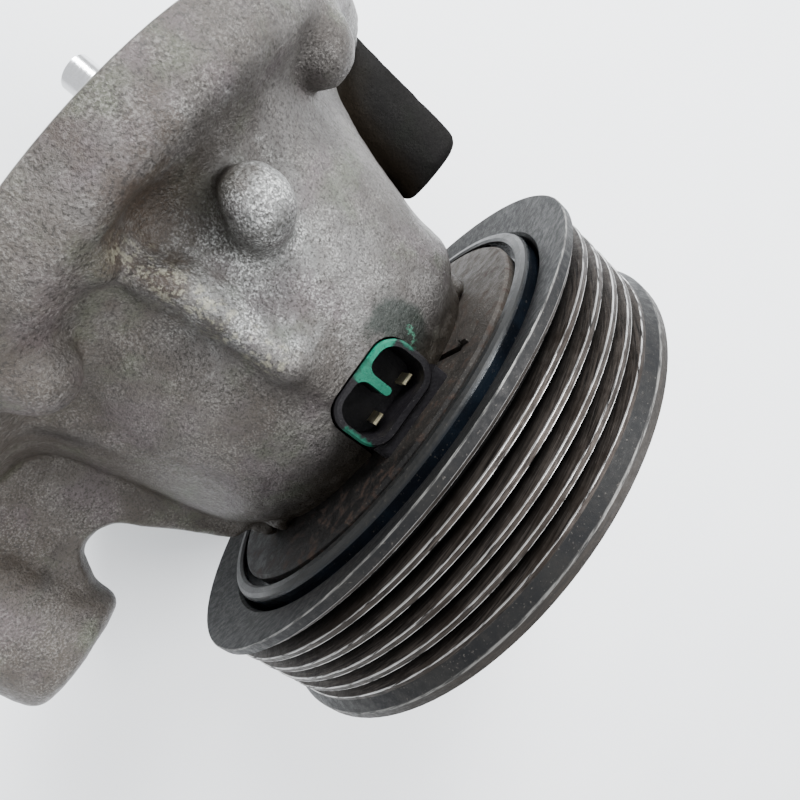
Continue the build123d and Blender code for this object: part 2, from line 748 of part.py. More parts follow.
def terminal_tab(side):
    """Flat blade with a bevelled tip and a foot that the lead is welded to."""
    with BuildPart() as tab:
        with BuildSketch(Plane.XY.offset(LEAD_Z - LEAD_R)):
            with Locations((side * TAB_X, TAB_Y)):
                Rectangle(TAB_WIDTH, 2 * TAB_THICKNESS)
        extrude(amount=2 * LEAD_R)
        with BuildSketch(Plane.XY.offset(LEAD_Z)):
            with Locations((side * TAB_X, TAB_Y)):
                Rectangle(TAB_WIDTH, TAB_THICKNESS)
        extrude(amount=TAB_TIP_Z - LEAD_Z)
        tip = tab.faces().sort_by(Axis.Z)[-1]
        chamfer(tip.edges().filter_by(Axis.X), 0.2)
    return tab


tabs = {-1: terminal_tab(-1), 1: terminal_tab(1)}
keep(tabs[-1], "terminal_tab_left")
keep(tabs[1], "terminal_tab_right")

with BuildPart() as connector:
    # base that stands on the coil plate
    with BuildSketch(square_to_axis(PLUG_FRONT_Y + 1)):
        with Locations((0, (PLUG_BASE_Z + BASE_TOP_Z) / 2)):
            RectangleRounded(2 * BASE_HALF_X, BASE_TOP_Z - PLUG_BASE_Z, BASE_CORNER_R)
    extrude(amount=PLUG_FRONT_Y + 1 - PLATE_REAR_Y)
    # socket body
    with BuildSketch(Plane.XY.offset(PLUG_BASE_Z)):
        with Locations((PLUG_MID_X, (PLUG_FRONT_Y + PLUG_REAR_Y) / 2)):
            RectangleRounded(2 * PLUG_HALF_X, PLUG_REAR_Y - PLUG_FRONT_Y, PLUG_CORNER_R)
    extrude(amount=PLUG_TOP_Z - PLUG_BASE_Z)
    chamfer(connector.faces().sort_by(Axis.Z)[-1].outer_wire().edges(), PLUG_EDGE)
    # two cavities joined past a partial divider
    with BuildSketch(Plane.XY.offset(CAVITY_FLOOR_Z)) as cavity:
        with Locations((PLUG_MID_X, (CAVITY_FRONT_Y + CAVITY_REAR_Y) / 2)):
            RectangleRounded(2 * CAVITY_HALF_X, CAVITY_REAR_Y - CAVITY_FRONT_Y, CAVITY_CORNER_R)
        with Locations((0, CAVITY_REAR_Y)):
            Rectangle(DIVIDER_WIDTH, 2 * DIVIDER_DEPTH, mode=Mode.SUBTRACT)
        divider_corners = cavity.vertices().filter_by_position(Axis.X, -DIVIDER_WIDTH, DIVIDER_WIDTH)
        fillet(divider_corners.group_by(Axis.Y)[0], DIVIDER_TIP_R)
        divider_corners = cavity.vertices().filter_by_position(Axis.X, -DIVIDER_WIDTH, DIVIDER_WIDTH)
        fillet(divider_corners.group_by(Axis.Y)[-1], DIVIDER_ROOT_R)
    extrude(amount=PLUG_TOP_Z - CAVITY_FLOOR_Z, mode=Mode.SUBTRACT)
    # the leads and the feet of the tabs are moulded in
    add(leads.part, mode=Mode.SUBTRACT)
    add(tabs[-1].part, mode=Mode.SUBTRACT)
    add(tabs[1].part, mode=Mode.SUBTRACT)
keep(connector, "connector_housing")

# ---------------------------------------------------------------- pulley
def pulley_outline():
    """Half section of the pulley as (radius, y) points, from the rear rim to the hub tube."""
    outline = [
        (REAR_RIM_R - 0.15, REAR_RIM_Y),
        (REAR_RIM_R, REAR_RIM_Y - 0.15),
        (REAR_RIM_R, REAR_RIM_Y - REAR_RIM_WIDTH),
    ]
    crest_half = CREST_FLAT / 2
    top_half = GROOVE_PITCH / 2 - crest_half
    root_half = top_half - GROOVE_DEPTH * tan(radians(GROOVE_FLANK))
    for index in range(GROOVE_COUNT):
        middle = (GROOVE_COUNT - 1) / 2 * GROOVE_PITCH - index * GROOVE_PITCH
        outline += [
            (CREST_R, middle + top_half),
            (CREST_R - GROOVE_DEPTH, middle + root_half),
            (CREST_R - GROOVE_DEPTH, middle - root_half),
            (CREST_R, middle - top_half),
        ]
    last_y = outline[-1][1]
    outline += [
        (CREST_R, last_y - 0.75),
        (FRONT_RIM_R, FRONT_RIM_Y + FRONT_RIM_WIDTH),
        (FRONT_RIM_R, FRONT_RIM_Y + 0.2),
        (FRONT_RIM_R - 0.2, FRONT_RIM_Y),
        (FRICTION_R + 0.5, FRONT_RIM_Y),
        (FRICTION_R, FRICTION_Y),
        (PULLEY_LIP_R, FRICTION_Y),
        (PULLEY_LIP_R, BEARING_FRONT_Y),
        (BEARING_OUTER_R, BEARING_FRONT_Y),
        (BEARING_OUTER_R, BEARING_REAR_Y),
        (BEARING_OUTER_R + 1.0, BEARING_REAR_Y),
        (BEARING_OUTER_R + 1.0, BEARING_REAR_Y + PULLEY_RING),
        (BEARING_OUTER_R, BEARING_REAR_Y + PULLEY_RING),
        (BEARING_OUTER_R + 0.3, HUB_TUBE_Y),
        (HUB_TUBE_R - 0.4, HUB_TUBE_Y),
        (HUB_TUBE_R, HUB_TUBE_Y - 0.4),
        (HUB_TUBE_R, FRICTION_BACK_Y + 0.6),
        (HUB_TUBE_R + 0.6, FRICTION_BACK_Y),
        (DRUM_BORE_R - 0.6, FRICTION_BACK_Y),
        (DRUM_BORE_R, FRICTION_BACK_Y + 0.6),
        (DRUM_BORE_R, OPENING_Y - 1.5),
        (DRUM_BORE_R + 0.25, OPENING_Y - 0.75),
        (DRUM_BORE_R + 0.75, OPENING_Y - 0.2),
        (OPENING_R, OPENING_Y),
    ]
    return outline


with BuildPart() as pulley:
    with BuildSketch(Plane.XY):
        with BuildLine():
            Polyline(*pulley_outline(), close=True)
        make_face()
    revolve(axis=Axis.Y)
    # two rings of slots through the friction face
    with BuildSketch(square_to_axis(FRICTION_BACK_Y)):
        for radius in SLOT_RADII:
            Circle(radius + SLOT_WIDTH / 2)
            Circle(radius - SLOT_WIDTH / 2, mode=Mode.SUBTRACT)
        for row, radius in enumerate(SLOT_RADII):
            for index in range(SLOT_COUNT):
                turn = (index + row / 2) * 360 / SLOT_COUNT
                with Locations(in_plane(turn, radius)):
                    Rectangle(SLOT_BRIDGE, 2 * SLOT_WIDTH, rotation=-turn, mode=Mode.SUBTRACT)
    extrude(amount=FRICTION_BACK_Y - FRICTION_Y, mode=Mode.SUBTRACT)
keep(pulley, "pulley")

keep(
    snap_ring(BEARING_OUTER_R - 1.3, BEARING_OUTER_R + 0.9, BEARING_REAR_Y, BEARING_REAR_Y + 1.15, 90, 4.0),
    "pulley_snap_ring",
)

# ---------------------------------------------------------------- pulley bearing
with BuildPart() as inner_race:
    with BuildSketch(Plane.XY):
        with BuildLine():
            Polyline(
                (BEARING_BORE_R, BEARING_FRONT_Y + 0.4),
                (BEARING_BORE_R + 0.4, BEARING_FRONT_Y),
                (INNER_LAND_R - 0.3, BEARING_FRONT_Y),
                (INNER_LAND_R, BEARING_FRONT_Y + 0.3),
                (INNER_LAND_R, BEARING_REAR_Y - 0.3),
                (INNER_LAND_R - 0.3, BEARING_REAR_Y),
                (BEARING_BORE_R + 0.4, BEARING_REAR_Y),
                (BEARING_BORE_R, BEARING_REAR_Y - 0.4),
                close=True,
            )
        make_face()
    revolve(axis=Axis.Y)
    with BuildSketch(Plane.XY):
        for row_y in ROW_YS:
            with Locations((BALL_PITCH_R, row_y)):
                Circle(BALL_R + BALL_PLAY)
    revolve(axis=Axis.Y, mode=Mode.SUBTRACT)
keep(inner_race, "bearing_inner_race")

with BuildPart() as outer_race:
    with BuildSketch(Plane.XY):
        with BuildLine():
            Polyline(
                (SEAL_SEAT_R, BEARING_FRONT_Y),
                (BEARING_OUTER_R - 0.4, BEARING_FRONT_Y),
                (BEARING_OUTER_R, BEARING_FRONT_Y + 0.4),
                (BEARING_OUTER_R, BEARING_REAR_Y - 0.4),
                (BEARING_OUTER_R - 0.4, BEARING_REAR_Y),
                (SEAL_SEAT_R, BEARING_REAR_Y),
                (SEAL_SEAT_R, BEARING_REAR_Y - SEAL_INSET - SEAL_THICKNESS),
                (OUTER_LAND_R, BEARING_REAR_Y - SEAL_INSET - SEAL_THICKNESS),
                (OUTER_LAND_R, BEARING_FRONT_Y + SEAL_INSET + SEAL_THICKNESS),
                (SEAL_SEAT_R, BEARING_FRONT_Y + SEAL_INSET + SEAL_THICKNESS),
                close=True,
            )
        make_face()
    revolve(axis=Axis.Y)
    with BuildSketch(Plane.XY):
        for row_y in ROW_YS:
            with Locations((BALL_PITCH_R, row_y)):
                Circle(BALL_R + BALL_PLAY)
    revolve(axis=Axis.Y, mode=Mode.SUBTRACT)
keep(outer_race, "bearing_outer_race")

with BuildPart() as balls:
    for row_y in ROW_YS:
        for index in range(BALL_COUNT):
            with Locations(around(index * 360 / BALL_COUNT, BALL_PITCH_R, row_y)):
                Sphere(BALL_R)
keep(balls, "bearing_balls")


def ball_cage(row_y):
    """Thin ring between the races with one pocket for each ball."""
    with BuildPart() as cage:
        with BuildSketch(square_to_axis(row_y + CAGE_WIDTH / 2)):
            Circle(BALL_PITCH_R + CAGE_WALL / 2)
            Circle(BALL_PITCH_R - CAGE_WALL / 2, mode=Mode.SUBTRACT)
        extrude(amount=CAGE_WIDTH)
        for index in range(BALL_COUNT):
            pocket = Plane(
                around(index * 360 / BALL_COUNT, BALL_PITCH_R, row_y),
                z_dir=around(index * 360 / BALL_COUNT, 1.0, 0.0),
            )
            with BuildSketch(pocket):
                Circle(BALL_R + POCKET_PLAY)
            extrude(amount=CAGE_WALL, both=True, mode=Mode.SUBTRACT)
    return cage


keep(ball_cage(ROW_YS[0]), "bearing_cage_front")
keep(ball_cage(ROW_YS[1]), "bearing_cage_rear")

for label, seal_front in (
    ("bearing_seal_front", BEARING_FRONT_Y + SEAL_INSET),
    ("bearing_seal_rear", BEARING_REAR_Y - SEAL_INSET - SEAL_THICKNESS),
):
    keep(ring(BEARING_LIP_R, SEAL_SEAT_R, seal_front, seal_front + SEAL_THICKNESS, 0.15), label)

keep(
    snap_ring(SNOUT_R - 0.9, SNOUT_R + 2.2, BEARING_FRONT_Y - RING_THICKNESS, BEARING_FRONT_Y, 180, 4.0),
    "bearing_snap_ring",
)

# ---------------------------------------------------------------- shaft and hub
with BuildPart() as shaft:
    with BuildSketch(Plane.XY):
        with BuildLine():
            Polyline(
                (0, SHAFT_FRONT_Y),
                (SHAFT_STUB_R - 0.5, SHAFT_FRONT_Y),
                (SHAFT_STUB_R, SHAFT_FRONT_Y + 0.5),
                (SHAFT_STUB_R, SHAFT_SHOULDER_Y),
                (SHAFT_R - 0.5, SHAFT_SHOULDER_Y),
                (SHAFT_R, SHAFT_SHOULDER_Y + 0.5),
                (SHAFT_R, SHAFT_TAIL_Y - 0.5),
                (SHAFT_R - 0.5, SHAFT_TAIL_Y),
                (SHAFT_TAIL_R, SHAFT_TAIL_Y),
                (SHAFT_TAIL_R, SHAFT_REAR_Y - 0.8),
                (SHAFT_TAIL_R - 0.8, SHAFT_REAR_Y),
                (0, SHAFT_REAR_Y),
                close=True,
            )
        make_face()
    revolve(axis=Axis.Y)
    # threaded hole for the hub bolt
    with BuildSketch(square_to_axis(SHAFT_FRONT_Y)):
        Circle(BOLT_R)
    extrude(amount=-BOLT_DEPTH, mode=Mode.SUBTRACT)
    # keyway
    with BuildSketch(square_to_axis(KEYWAY_REAR_Y)):
        with Locations((0, SHAFT_STUB_R + KEY_RISE - SHAFT_KEY / 2)):
            Rectangle(SHAFT_KEY, SHAFT_KEY)
    extrude(amount=KEYWAY_REAR_Y - KEYWAY_FRONT_Y, mode=Mode.SUBTRACT)
keep(shaft, "compressor_shaft")

with BuildPart() as key:
    with BuildSketch(square_to_axis(KEYWAY_REAR_Y)):
        with Locations((0, SHAFT_STUB_R + KEY_RISE - SHAFT_KEY / 2)):
            Rectangle(SHAFT_KEY, SHAFT_KEY)
    extrude(amount=KEYWAY_REAR_Y - KEYWAY_FRONT_Y)
keep(key, "shaft_key")

with BuildPart() as shims:
    for index in range(SHIM_COUNT):
        with BuildSketch(square_to_axis(SHAFT_SHOULDER_Y - index * SHIM_THICKNESS)):
            Circle(SHAFT_R - 0.2)
            Circle(SHAFT_STUB_R + 0.05, mode=Mode.SUBTRACT)
        extrude(amount=SHIM_THICKNESS - 0.01)
keep(shims, "air_gap_shims")

with BuildPart() as hub:
    with BuildSketch(Plane.XY):
        with BuildLine():
            Polyline(
                (SHAFT_STUB_R, HUB_REAR_Y),
                (HUB_BOSS_R - 0.5, HUB_REAR_Y),
                (HUB_BOSS_R, HUB_REAR_Y - 0.5),
                (HUB_BOSS_R, HUB_WEB_Y - 1.0),
                (HUB_BOSS_R + 1.0, HUB_WEB_Y - 2.0),
                (HUB_RIM_R - 2.6, HUB_WEB_Y - 2.0),
                (HUB_RIM_R - 2.0, HUB_WEB_Y),
                (HUB_RIM_R, HUB_WEB_Y),
                (HUB_RIM_R, HUB_FRONT_Y + 0.4),
                (HUB_RIM_R - 0.4, HUB_FRONT_Y),
                (SHAFT_STUB_R + 0.4, HUB_FRONT_Y),
                (SHAFT_STUB_R, HUB_FRONT_Y + 0.4),
                close=True,
            )
        make_face()
    revolve(axis=Axis.Y)
    with BuildSketch(square_to_axis(KEYWAY_REAR_Y)):
        with Locations((0, SHAFT_STUB_R + KEY_RISE - SHAFT_KEY / 2)):
            Rectangle(SHAFT_KEY, SHAFT_KEY)
    extrude(amount=KEYWAY_REAR_Y - HUB_FRONT_Y, mode=Mode.SUBTRACT)
    # puller holes
    with BuildSketch(square_to_axis(HUB_WEB_Y)):
        with PolarLocations(PULLER_PITCH_R, 3, start_angle=30):
            Circle(PULLER_R)
    extrude(amount=HUB_WEB_Y - HUB_FRONT_Y, mode=Mode.SUBTRACT)
keep(hub, "drive_hub")

damper = ring(HUB_RIM_R, CUP_BORE_R - DAMPER_PLAY, HUB_FRONT_Y + 0.9, HUB_WEB_Y - 0.3, 0.6)
keep(damper, "rubber_damper")

hub_washer = ring(BOLT_R, WASHER_R, HUB_FRONT_Y - WASHER, HUB_FRONT_Y, 0.25)
keep(hub_washer, "hub_washer")

with BuildPart() as bolt:
    with BuildSketch(square_to_axis(HUB_FRONT_Y - WASHER)):
        RegularPolygon(BOLT_FLATS / 2, 6, major_radius=False)
    extrude(amount=BOLT_HEAD)
    head_edges = bolt.faces().sort_by(Axis.Y)[0].edges()
    chamfer(head_edges, 0.5)
    with BuildSketch(square_to_axis(HUB_FRONT_Y - WASHER)):
        Circle(BOLT_R)
    extrude(amount=-(WASHER + SHAFT_FRONT_Y - HUB_FRONT_Y + BOLT_DEPTH - 1.0))
keep(bolt, "hub_bolt")

# ---------------------------------------------------------------- armature
with BuildPart() as armature:
    with BuildSketch(Plane.XY):
        with BuildLine():
            Polyline(
                (ARMATURE_BORE_R, ARMATURE_REAR_Y),
                (ARMATURE_R - 0.5, ARMATURE_REAR_Y),
                (ARMATURE_R, ARMATURE_REAR_Y - 0.5),
                (ARMATURE_R, ARMATURE_FRONT_Y + 0.8),
                (ARMATURE_R - 0.8, ARMATURE_FRONT_Y),
                (ARMATURE_BORE_R, ARMATURE_FRONT_Y),
                close=True,
            )
        make_face()
    revolve(axis=Axis.Y)
    with BuildSketch(square_to_axis(ARMATURE_REAR_Y)):
        Circle(ARMATURE_SLOT_R + SLOT_WIDTH / 2)
        Circle(ARMATURE_SLOT_R - SLOT_WIDTH / 2, mode=Mode.SUBTRACT)
        with PolarLocations(ARMATURE_SLOT_R, 3, start_angle=30):
            Rectangle(3 * SLOT_WIDTH, 2 * SLOT_BRIDGE, mode=Mode.SUBTRACT)
        with PolarLocations(RIVET_PITCH_R, 3, start_angle=30):
            Circle(RIVET_R)
    extrude(amount=ARMATURE_REAR_Y - ARMATURE_FRONT_Y, mode=Mode.SUBTRACT)
    with BuildSketch(square_to_axis(ARMATURE_REAR_Y)):
        with PolarLocations(RIVET_PITCH_R, 3, start_angle=30):
            Circle(RIVET_HEAD_R)
    extrude(amount=RIVET_RECESS + RIVET_HEAD, mode=Mode.SUBTRACT)
keep(armature, "armature_plate")

with BuildPart() as cup:
    with BuildSketch(Plane.XY):
        with BuildLine():
            Polyline(
                (CUP_BORE_R, CUP_REAR_Y),
                (CUP_OUTER_R - 0.5, CUP_REAR_Y),
                (CUP_OUTER_R, CUP_REAR_Y - 0.5),
                (CUP_OUTER_R, CUP_REAR_Y - CUP_SHEET + 0.5),
                (CUP_OUTER_R - 0.5, CUP_REAR_Y - CUP_SHEET),
                (CUP_BORE_R + CUP_SHEET + 1.2, CUP_REAR_Y - CUP_SHEET),
                (CUP_BORE_R + CUP_SHEET, CUP_REAR_Y - CUP_SHEET - 1.2),
                (CUP_BORE_R + CUP_SHEET, CUP_FRONT_Y + 0.4),
                (CUP_BORE_R + CUP_SHEET - 0.4, CUP_FRONT_Y),
                (CUP_BORE_R, CUP_FRONT_Y),
                close=True,
            )
        make_face()
    revolve(axis=Axis.Y)
    # three scallops leave a lobe at each rivet
    with BuildSketch(square_to_axis(CUP_REAR_Y)):
        with PolarLocations(SCALLOP_PITCH_R, 3, start_angle=90):
            Circle(SCALLOP_R)
        with PolarLocations(RIVET_PITCH_R, 3, start_angle=30):
            Circle(RIVET_R)
    extrude(amount=CUP_SHEET, mode=Mode.SUBTRACT)
keep(cup, "armature_cup")

with BuildPart() as rivets:
    with BuildSketch(square_to_axis(ARMATURE_REAR_Y - RIVET_RECESS)):
        with PolarLocations(RIVET_PITCH_R, 3, start_angle=30):
            Circle(RIVET_HEAD_R)
    extrude(amount=RIVET_HEAD)
    with BuildSketch(square_to_axis(ARMATURE_REAR_Y - RIVET_RECESS)):
        with PolarLocations(RIVET_PITCH_R, 3, start_angle=30):
            Circle(RIVET_R)
    extrude(amount=CUP_SHEET - CUP_REAR_Y + ARMATURE_REAR_Y - RIVET_RECESS + 0.1)
    with BuildSketch(square_to_axis(CUP_REAR_Y - CUP_SHEET)):
        with PolarLocations(RIVET_PITCH_R, 3, start_angle=30):
            Circle(RIVET_HEAD_R)
    extrude(amount=RIVET_HEAD + 0.4)
    chamfer(rivets.faces().group_by(Axis.Y)[0].edges(), 0.9)
keep(rivets, "armature_rivets")
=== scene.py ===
"""Looks of the electromagnetic clutch: camera, light, cast housing, materials and wear."""
import json
import math

import bmesh
import bpy
import numpy as np
from mathutils import Matrix, Vector, kdtree, noise
from mathutils.bvhtree import BVHTree


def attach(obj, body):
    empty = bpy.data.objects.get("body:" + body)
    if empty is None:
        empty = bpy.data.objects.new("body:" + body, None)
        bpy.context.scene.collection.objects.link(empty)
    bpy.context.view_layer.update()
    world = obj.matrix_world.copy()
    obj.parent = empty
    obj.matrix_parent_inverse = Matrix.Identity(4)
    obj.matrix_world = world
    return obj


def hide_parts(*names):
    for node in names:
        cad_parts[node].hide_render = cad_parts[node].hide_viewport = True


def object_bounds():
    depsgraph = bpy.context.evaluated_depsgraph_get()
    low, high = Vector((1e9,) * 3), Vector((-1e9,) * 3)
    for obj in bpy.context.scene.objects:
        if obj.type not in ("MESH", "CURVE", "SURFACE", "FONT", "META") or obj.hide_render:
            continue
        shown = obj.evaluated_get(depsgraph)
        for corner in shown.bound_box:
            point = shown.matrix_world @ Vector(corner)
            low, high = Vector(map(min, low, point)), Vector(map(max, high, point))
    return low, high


MM = 0.001

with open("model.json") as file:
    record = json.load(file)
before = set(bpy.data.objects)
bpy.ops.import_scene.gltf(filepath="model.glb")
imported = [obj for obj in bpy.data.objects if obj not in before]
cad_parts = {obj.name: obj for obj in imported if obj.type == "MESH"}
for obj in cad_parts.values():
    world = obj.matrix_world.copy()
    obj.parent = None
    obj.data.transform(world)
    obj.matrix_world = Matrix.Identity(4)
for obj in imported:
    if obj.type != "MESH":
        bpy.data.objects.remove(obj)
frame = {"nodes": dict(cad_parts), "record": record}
NODES = frame["nodes"]
start_bounds = [list(corner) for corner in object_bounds()]

# ---- camera, in metres in the row frame ----
CAMERA_AT = Vector((-0.008357, 0.036876, 0.108490))
CAMERA_RIGHT = Vector((0.58410, -0.75465, 0.29887))
CAMERA_UP = Vector((0.80386, 0.58882, -0.08424))
LENS = 23.118
SENSOR = 36.0
FLOOR_HALF = 1.5
WORLD_STRENGTH = 1.5

# ---- places that the finishes follow, in millimetres in the row frame ----
GROOVE_PITCH = 3.56
CREST_R = 53.09
CREST_HALF = 0.45
GROOVE_FLOOR_R = 50.49
GROOVES_FRONT_Y = -9.2
GROOVES_REAR_Y = 9.4
REAR_RIM_Y = 11.04
REAR_RIM_R = 53.99
FRONT_RIM_R = 54.3
FRONT_RIM_REAR_Y = -11.4
COIL_LIP_Y = 9.7
NOSE_FACE_Y = 10.8
JOINT_FACE_Y = 62.0
TEXTURE_R = 55.0
WIRE_PITCH = 0.6
LEFT_EAR = (-65.0, 11.46)
RIGHT_EAR = (48.0, 0.0)
PLUG_REAR_Y = 22.7


def make_camera():
    data = bpy.data.cameras.new("photo_camera")
    data.lens = LENS
    data.sensor_width = SENSOR
    data.clip_start = 0.001
    data.clip_end = 10.0
    camera = bpy.data.objects.new("photo_camera", data)
    bpy.context.scene.collection.objects.link(camera)
    right = CAMERA_RIGHT.normalized()
    up = (CAMERA_UP - right * CAMERA_UP.dot(right)).normalized()
    turn = Matrix((right, up, right.cross(up))).transposed().to_4x4()
    camera.matrix_world = Matrix.Translation(CAMERA_AT) @ turn
    bpy.context.scene.camera = camera


def make_stage():
    """Pale floor, pale surroundings and two soft lights."""
    low = min(corner[2] for corner in start_bounds)
    half = FLOOR_HALF
    mesh = bpy.data.meshes.new("floor")
    mesh.from_pydata(
        [(-half, -half, low), (half, -half, low), (half, half, low), (-half, half, low)],
        [],
        [(0, 1, 2, 3)],
    )
    floor = bpy.data.objects.new("floor", mesh)
    bpy.context.scene.collection.objects.link(floor)
    mesh.materials.append(floor_look())

    world = bpy.data.worlds.new("studio")
    world.use_nodes = True
    world.node_tree.nodes["Background"].inputs["Color"].default_value = (0.95, 0.975, 1.0, 1)
    world.node_tree.nodes["Background"].inputs["Strength"].default_value = WORLD_STRENGTH
    bpy.context.scene.world = world

    for name, at, aim, size, power, colour in (
        ("window_light", (0.36, 0.34, 0.36), (0, 0, 0), 0.20, 9.0, (0.95, 0.98, 1.0)),
        ("top_light", (0.30, -0.30, 0.50), (0, 0, 0), 0.40, 7.0, (0.97, 0.98, 1.0)),
    ):
        data = bpy.data.lights.new(name, "AREA")
        data.shape = "SQUARE"
        data.size = size
        data.energy = power
        data.color = colour
        light = bpy.data.objects.new(name, data)
        light.location = at
        light.rotation_mode = "QUATERNION"
        light.rotation_quaternion = (Vector(at) - Vector(aim)).to_track_quat("Z", "Y")
        bpy.context.scene.collection.objects.link(light)


# ---------------------------------------------------------------- material builder
class Look:
    """One node material. Numbers go on sockets; textures work in millimetres."""

    def __init__(self, name):
        self.material = bpy.data.materials.new(name)
        self.material.use_nodes = True
        self.tree = self.material.node_tree
        self.shader = self.tree.nodes["Principled BSDF"]
        coords = self.tree.nodes.new("ShaderNodeTexCoord").outputs["Object"]
        self.place = self.vector("SCALE", coords, scale=1000.0)
        self.bump_height = None

    def join(self, value, socket):
        if isinstance(value, bpy.types.NodeSocket):
            self.tree.links.new(value, socket)
        else:
            socket.default_value = value

    def vector(self, operation, first, second=None, scale=None):
        node = self.tree.nodes.new("ShaderNodeVectorMath")
        node.operation = operation
        self.join(first, node.inputs[0])
        if second is not None:
            self.join(second, node.inputs[1])
        if scale is not None:
            self.join(scale, node.inputs["Scale"])
        return node.outputs["Value" if operation in ("LENGTH", "DOT_PRODUCT") else "Vector"]

    def math(self, operation, first, second=0.0, third=0.0, clamp=False):
        node = self.tree.nodes.new("ShaderNodeMath")
        node.operation = operation
        node.use_clamp = clamp
        self.join(first, node.inputs[0])
        self.join(second, node.inputs[1])
        self.join(third, node.inputs[2])
        return node.outputs[0]

    def step(self, value, low, high, out_low=0.0, out_high=1.0):
        """Smooth step of a value between two limits."""
        node = self.tree.nodes.new("ShaderNodeMapRange")
        node.interpolation_type = "SMOOTHSTEP"
        self.join(value, node.inputs["Value"])
        node.inputs["From Min"].default_value = low
        node.inputs["From Max"].default_value = high
        node.inputs["To Min"].default_value = out_low
        node.inputs["To Max"].default_value = out_high
        return node.outputs["Result"]

    def mix(self, factor, first, second, blend="MIX"):
        node = self.tree.nodes.new("ShaderNodeMix")
        node.data_type = "RGBA"
        node.blend_type = blend
        self.join(factor, node.inputs[0])
        self.join(first, node.inputs[6])
        self.join(second, node.inputs[7])
        return node.outputs[2]

    def noise(self, scale, detail=4.0, rough=0.55, place=None, distort=0.0):
        node = self.tree.nodes.new("ShaderNodeTexNoise")
        self.join(place if place is not None else self.place, node.inputs["Vector"])
        node.inputs["Scale"].default_value = scale
        node.inputs["Detail"].default_value = detail
        node.inputs["Roughness"].default_value = rough
        node.inputs["Distortion"].default_value = distort
        return node.outputs["Fac"]

    def turned_place(self, along=1.0, around=0.04):
        """Coordinates that stretch a texture round the shaft axis."""
        x, y, z = self.parts()
        flat = self.joined(self.math("DIVIDE", x, self.radius()), 0.0, self.math("DIVIDE", z, self.radius()))
        wide = self.vector("SCALE", flat, scale=TEXTURE_R * around)
        fine = self.joined(self.math("MULTIPLY", self.radius(), along), self.math("MULTIPLY", y, along), 0.0)
        return self.vector("ADD", wide, fine)

    def parts(self):
        if not hasattr(self, "split"):
            self.split = self.tree.nodes.new("ShaderNodeSeparateXYZ")
            self.join(self.place, self.split.inputs[0])
        return self.split.outputs

    def radius(self):
        """Distance from the shaft axis in millimetres."""
        if not hasattr(self, "axis_distance"):
            x, _, z = self.parts()
            square = self.math("ADD", self.math("MULTIPLY", x, x), self.math("MULTIPLY", z, z))
            self.axis_distance = self.math("SQRT", square)
        return self.axis_distance

    def bump(self, height, depth_mm, strength=1.0):
        node = self.tree.nodes.new("ShaderNodeBump")
        node.inputs["Distance"].default_value = depth_mm * MM
        node.inputs["Strength"].default_value = strength
        self.join(height, node.inputs["Height"])
        if self.bump_height is not None:
            self.join(self.bump_height, node.inputs["Normal"])
        self.bump_height = node.outputs["Normal"]
        self.join(self.bump_height, self.shader.inputs["Normal"])

    def joined(self, x, y, z):
        """Vector from three numbers or sockets."""
        node = self.tree.nodes.new("ShaderNodeCombineXYZ")
        for axis, value in enumerate((x, y, z)):
            self.join(value, node.inputs[axis])
        return node.outputs[0]

    def finish(self, colour, rough, metal=0.0, **others):
        self.join(colour, self.shader.inputs["Base Color"])
        self.join(rough, self.shader.inputs["Roughness"])
        self.join(metal, self.shader.inputs["Metallic"])
        for name, value in others.items():
            self.join(value, self.shader.inputs[name.replace("_", " ")])
        return self.material


def floor_look():
    look = Look("floor_white")
    grain = look.noise(0.02, 3.0)
    colour = look.mix(grain, (0.88, 0.895, 0.91, 1), (0.94, 0.945, 0.95, 1))
    look.bump(look.noise(0.8, 3.0), 0.05)
    return look.finish(colour, look.step(grain, 0.3, 0.7, 0.6, 0.75))


# ---------------------------------------------------------------- masks and materials
def spot_mask(look, place, centre, inner, outer):
    """1 near a point, falling to 0 at the outer radius."""
    offset = look.vector("SUBTRACT", place, centre)
    return look.step(look.vector("LENGTH", offset), outer, inner)


def box_mask(look, place, low, high, soft):
    """1 inside a box given by its corners, falling to 0 over a soft edge."""
    mask = None
    for axis in range(3):
        inner = look.step(place[axis], low[axis] - soft, low[axis] + soft)
        outer = look.step(place[axis], high[axis] + soft, high[axis] - soft)
        both = look.math("MULTIPLY", inner, outer)
        mask = both if mask is None else look.math("MULTIPLY", mask, both)
    return mask


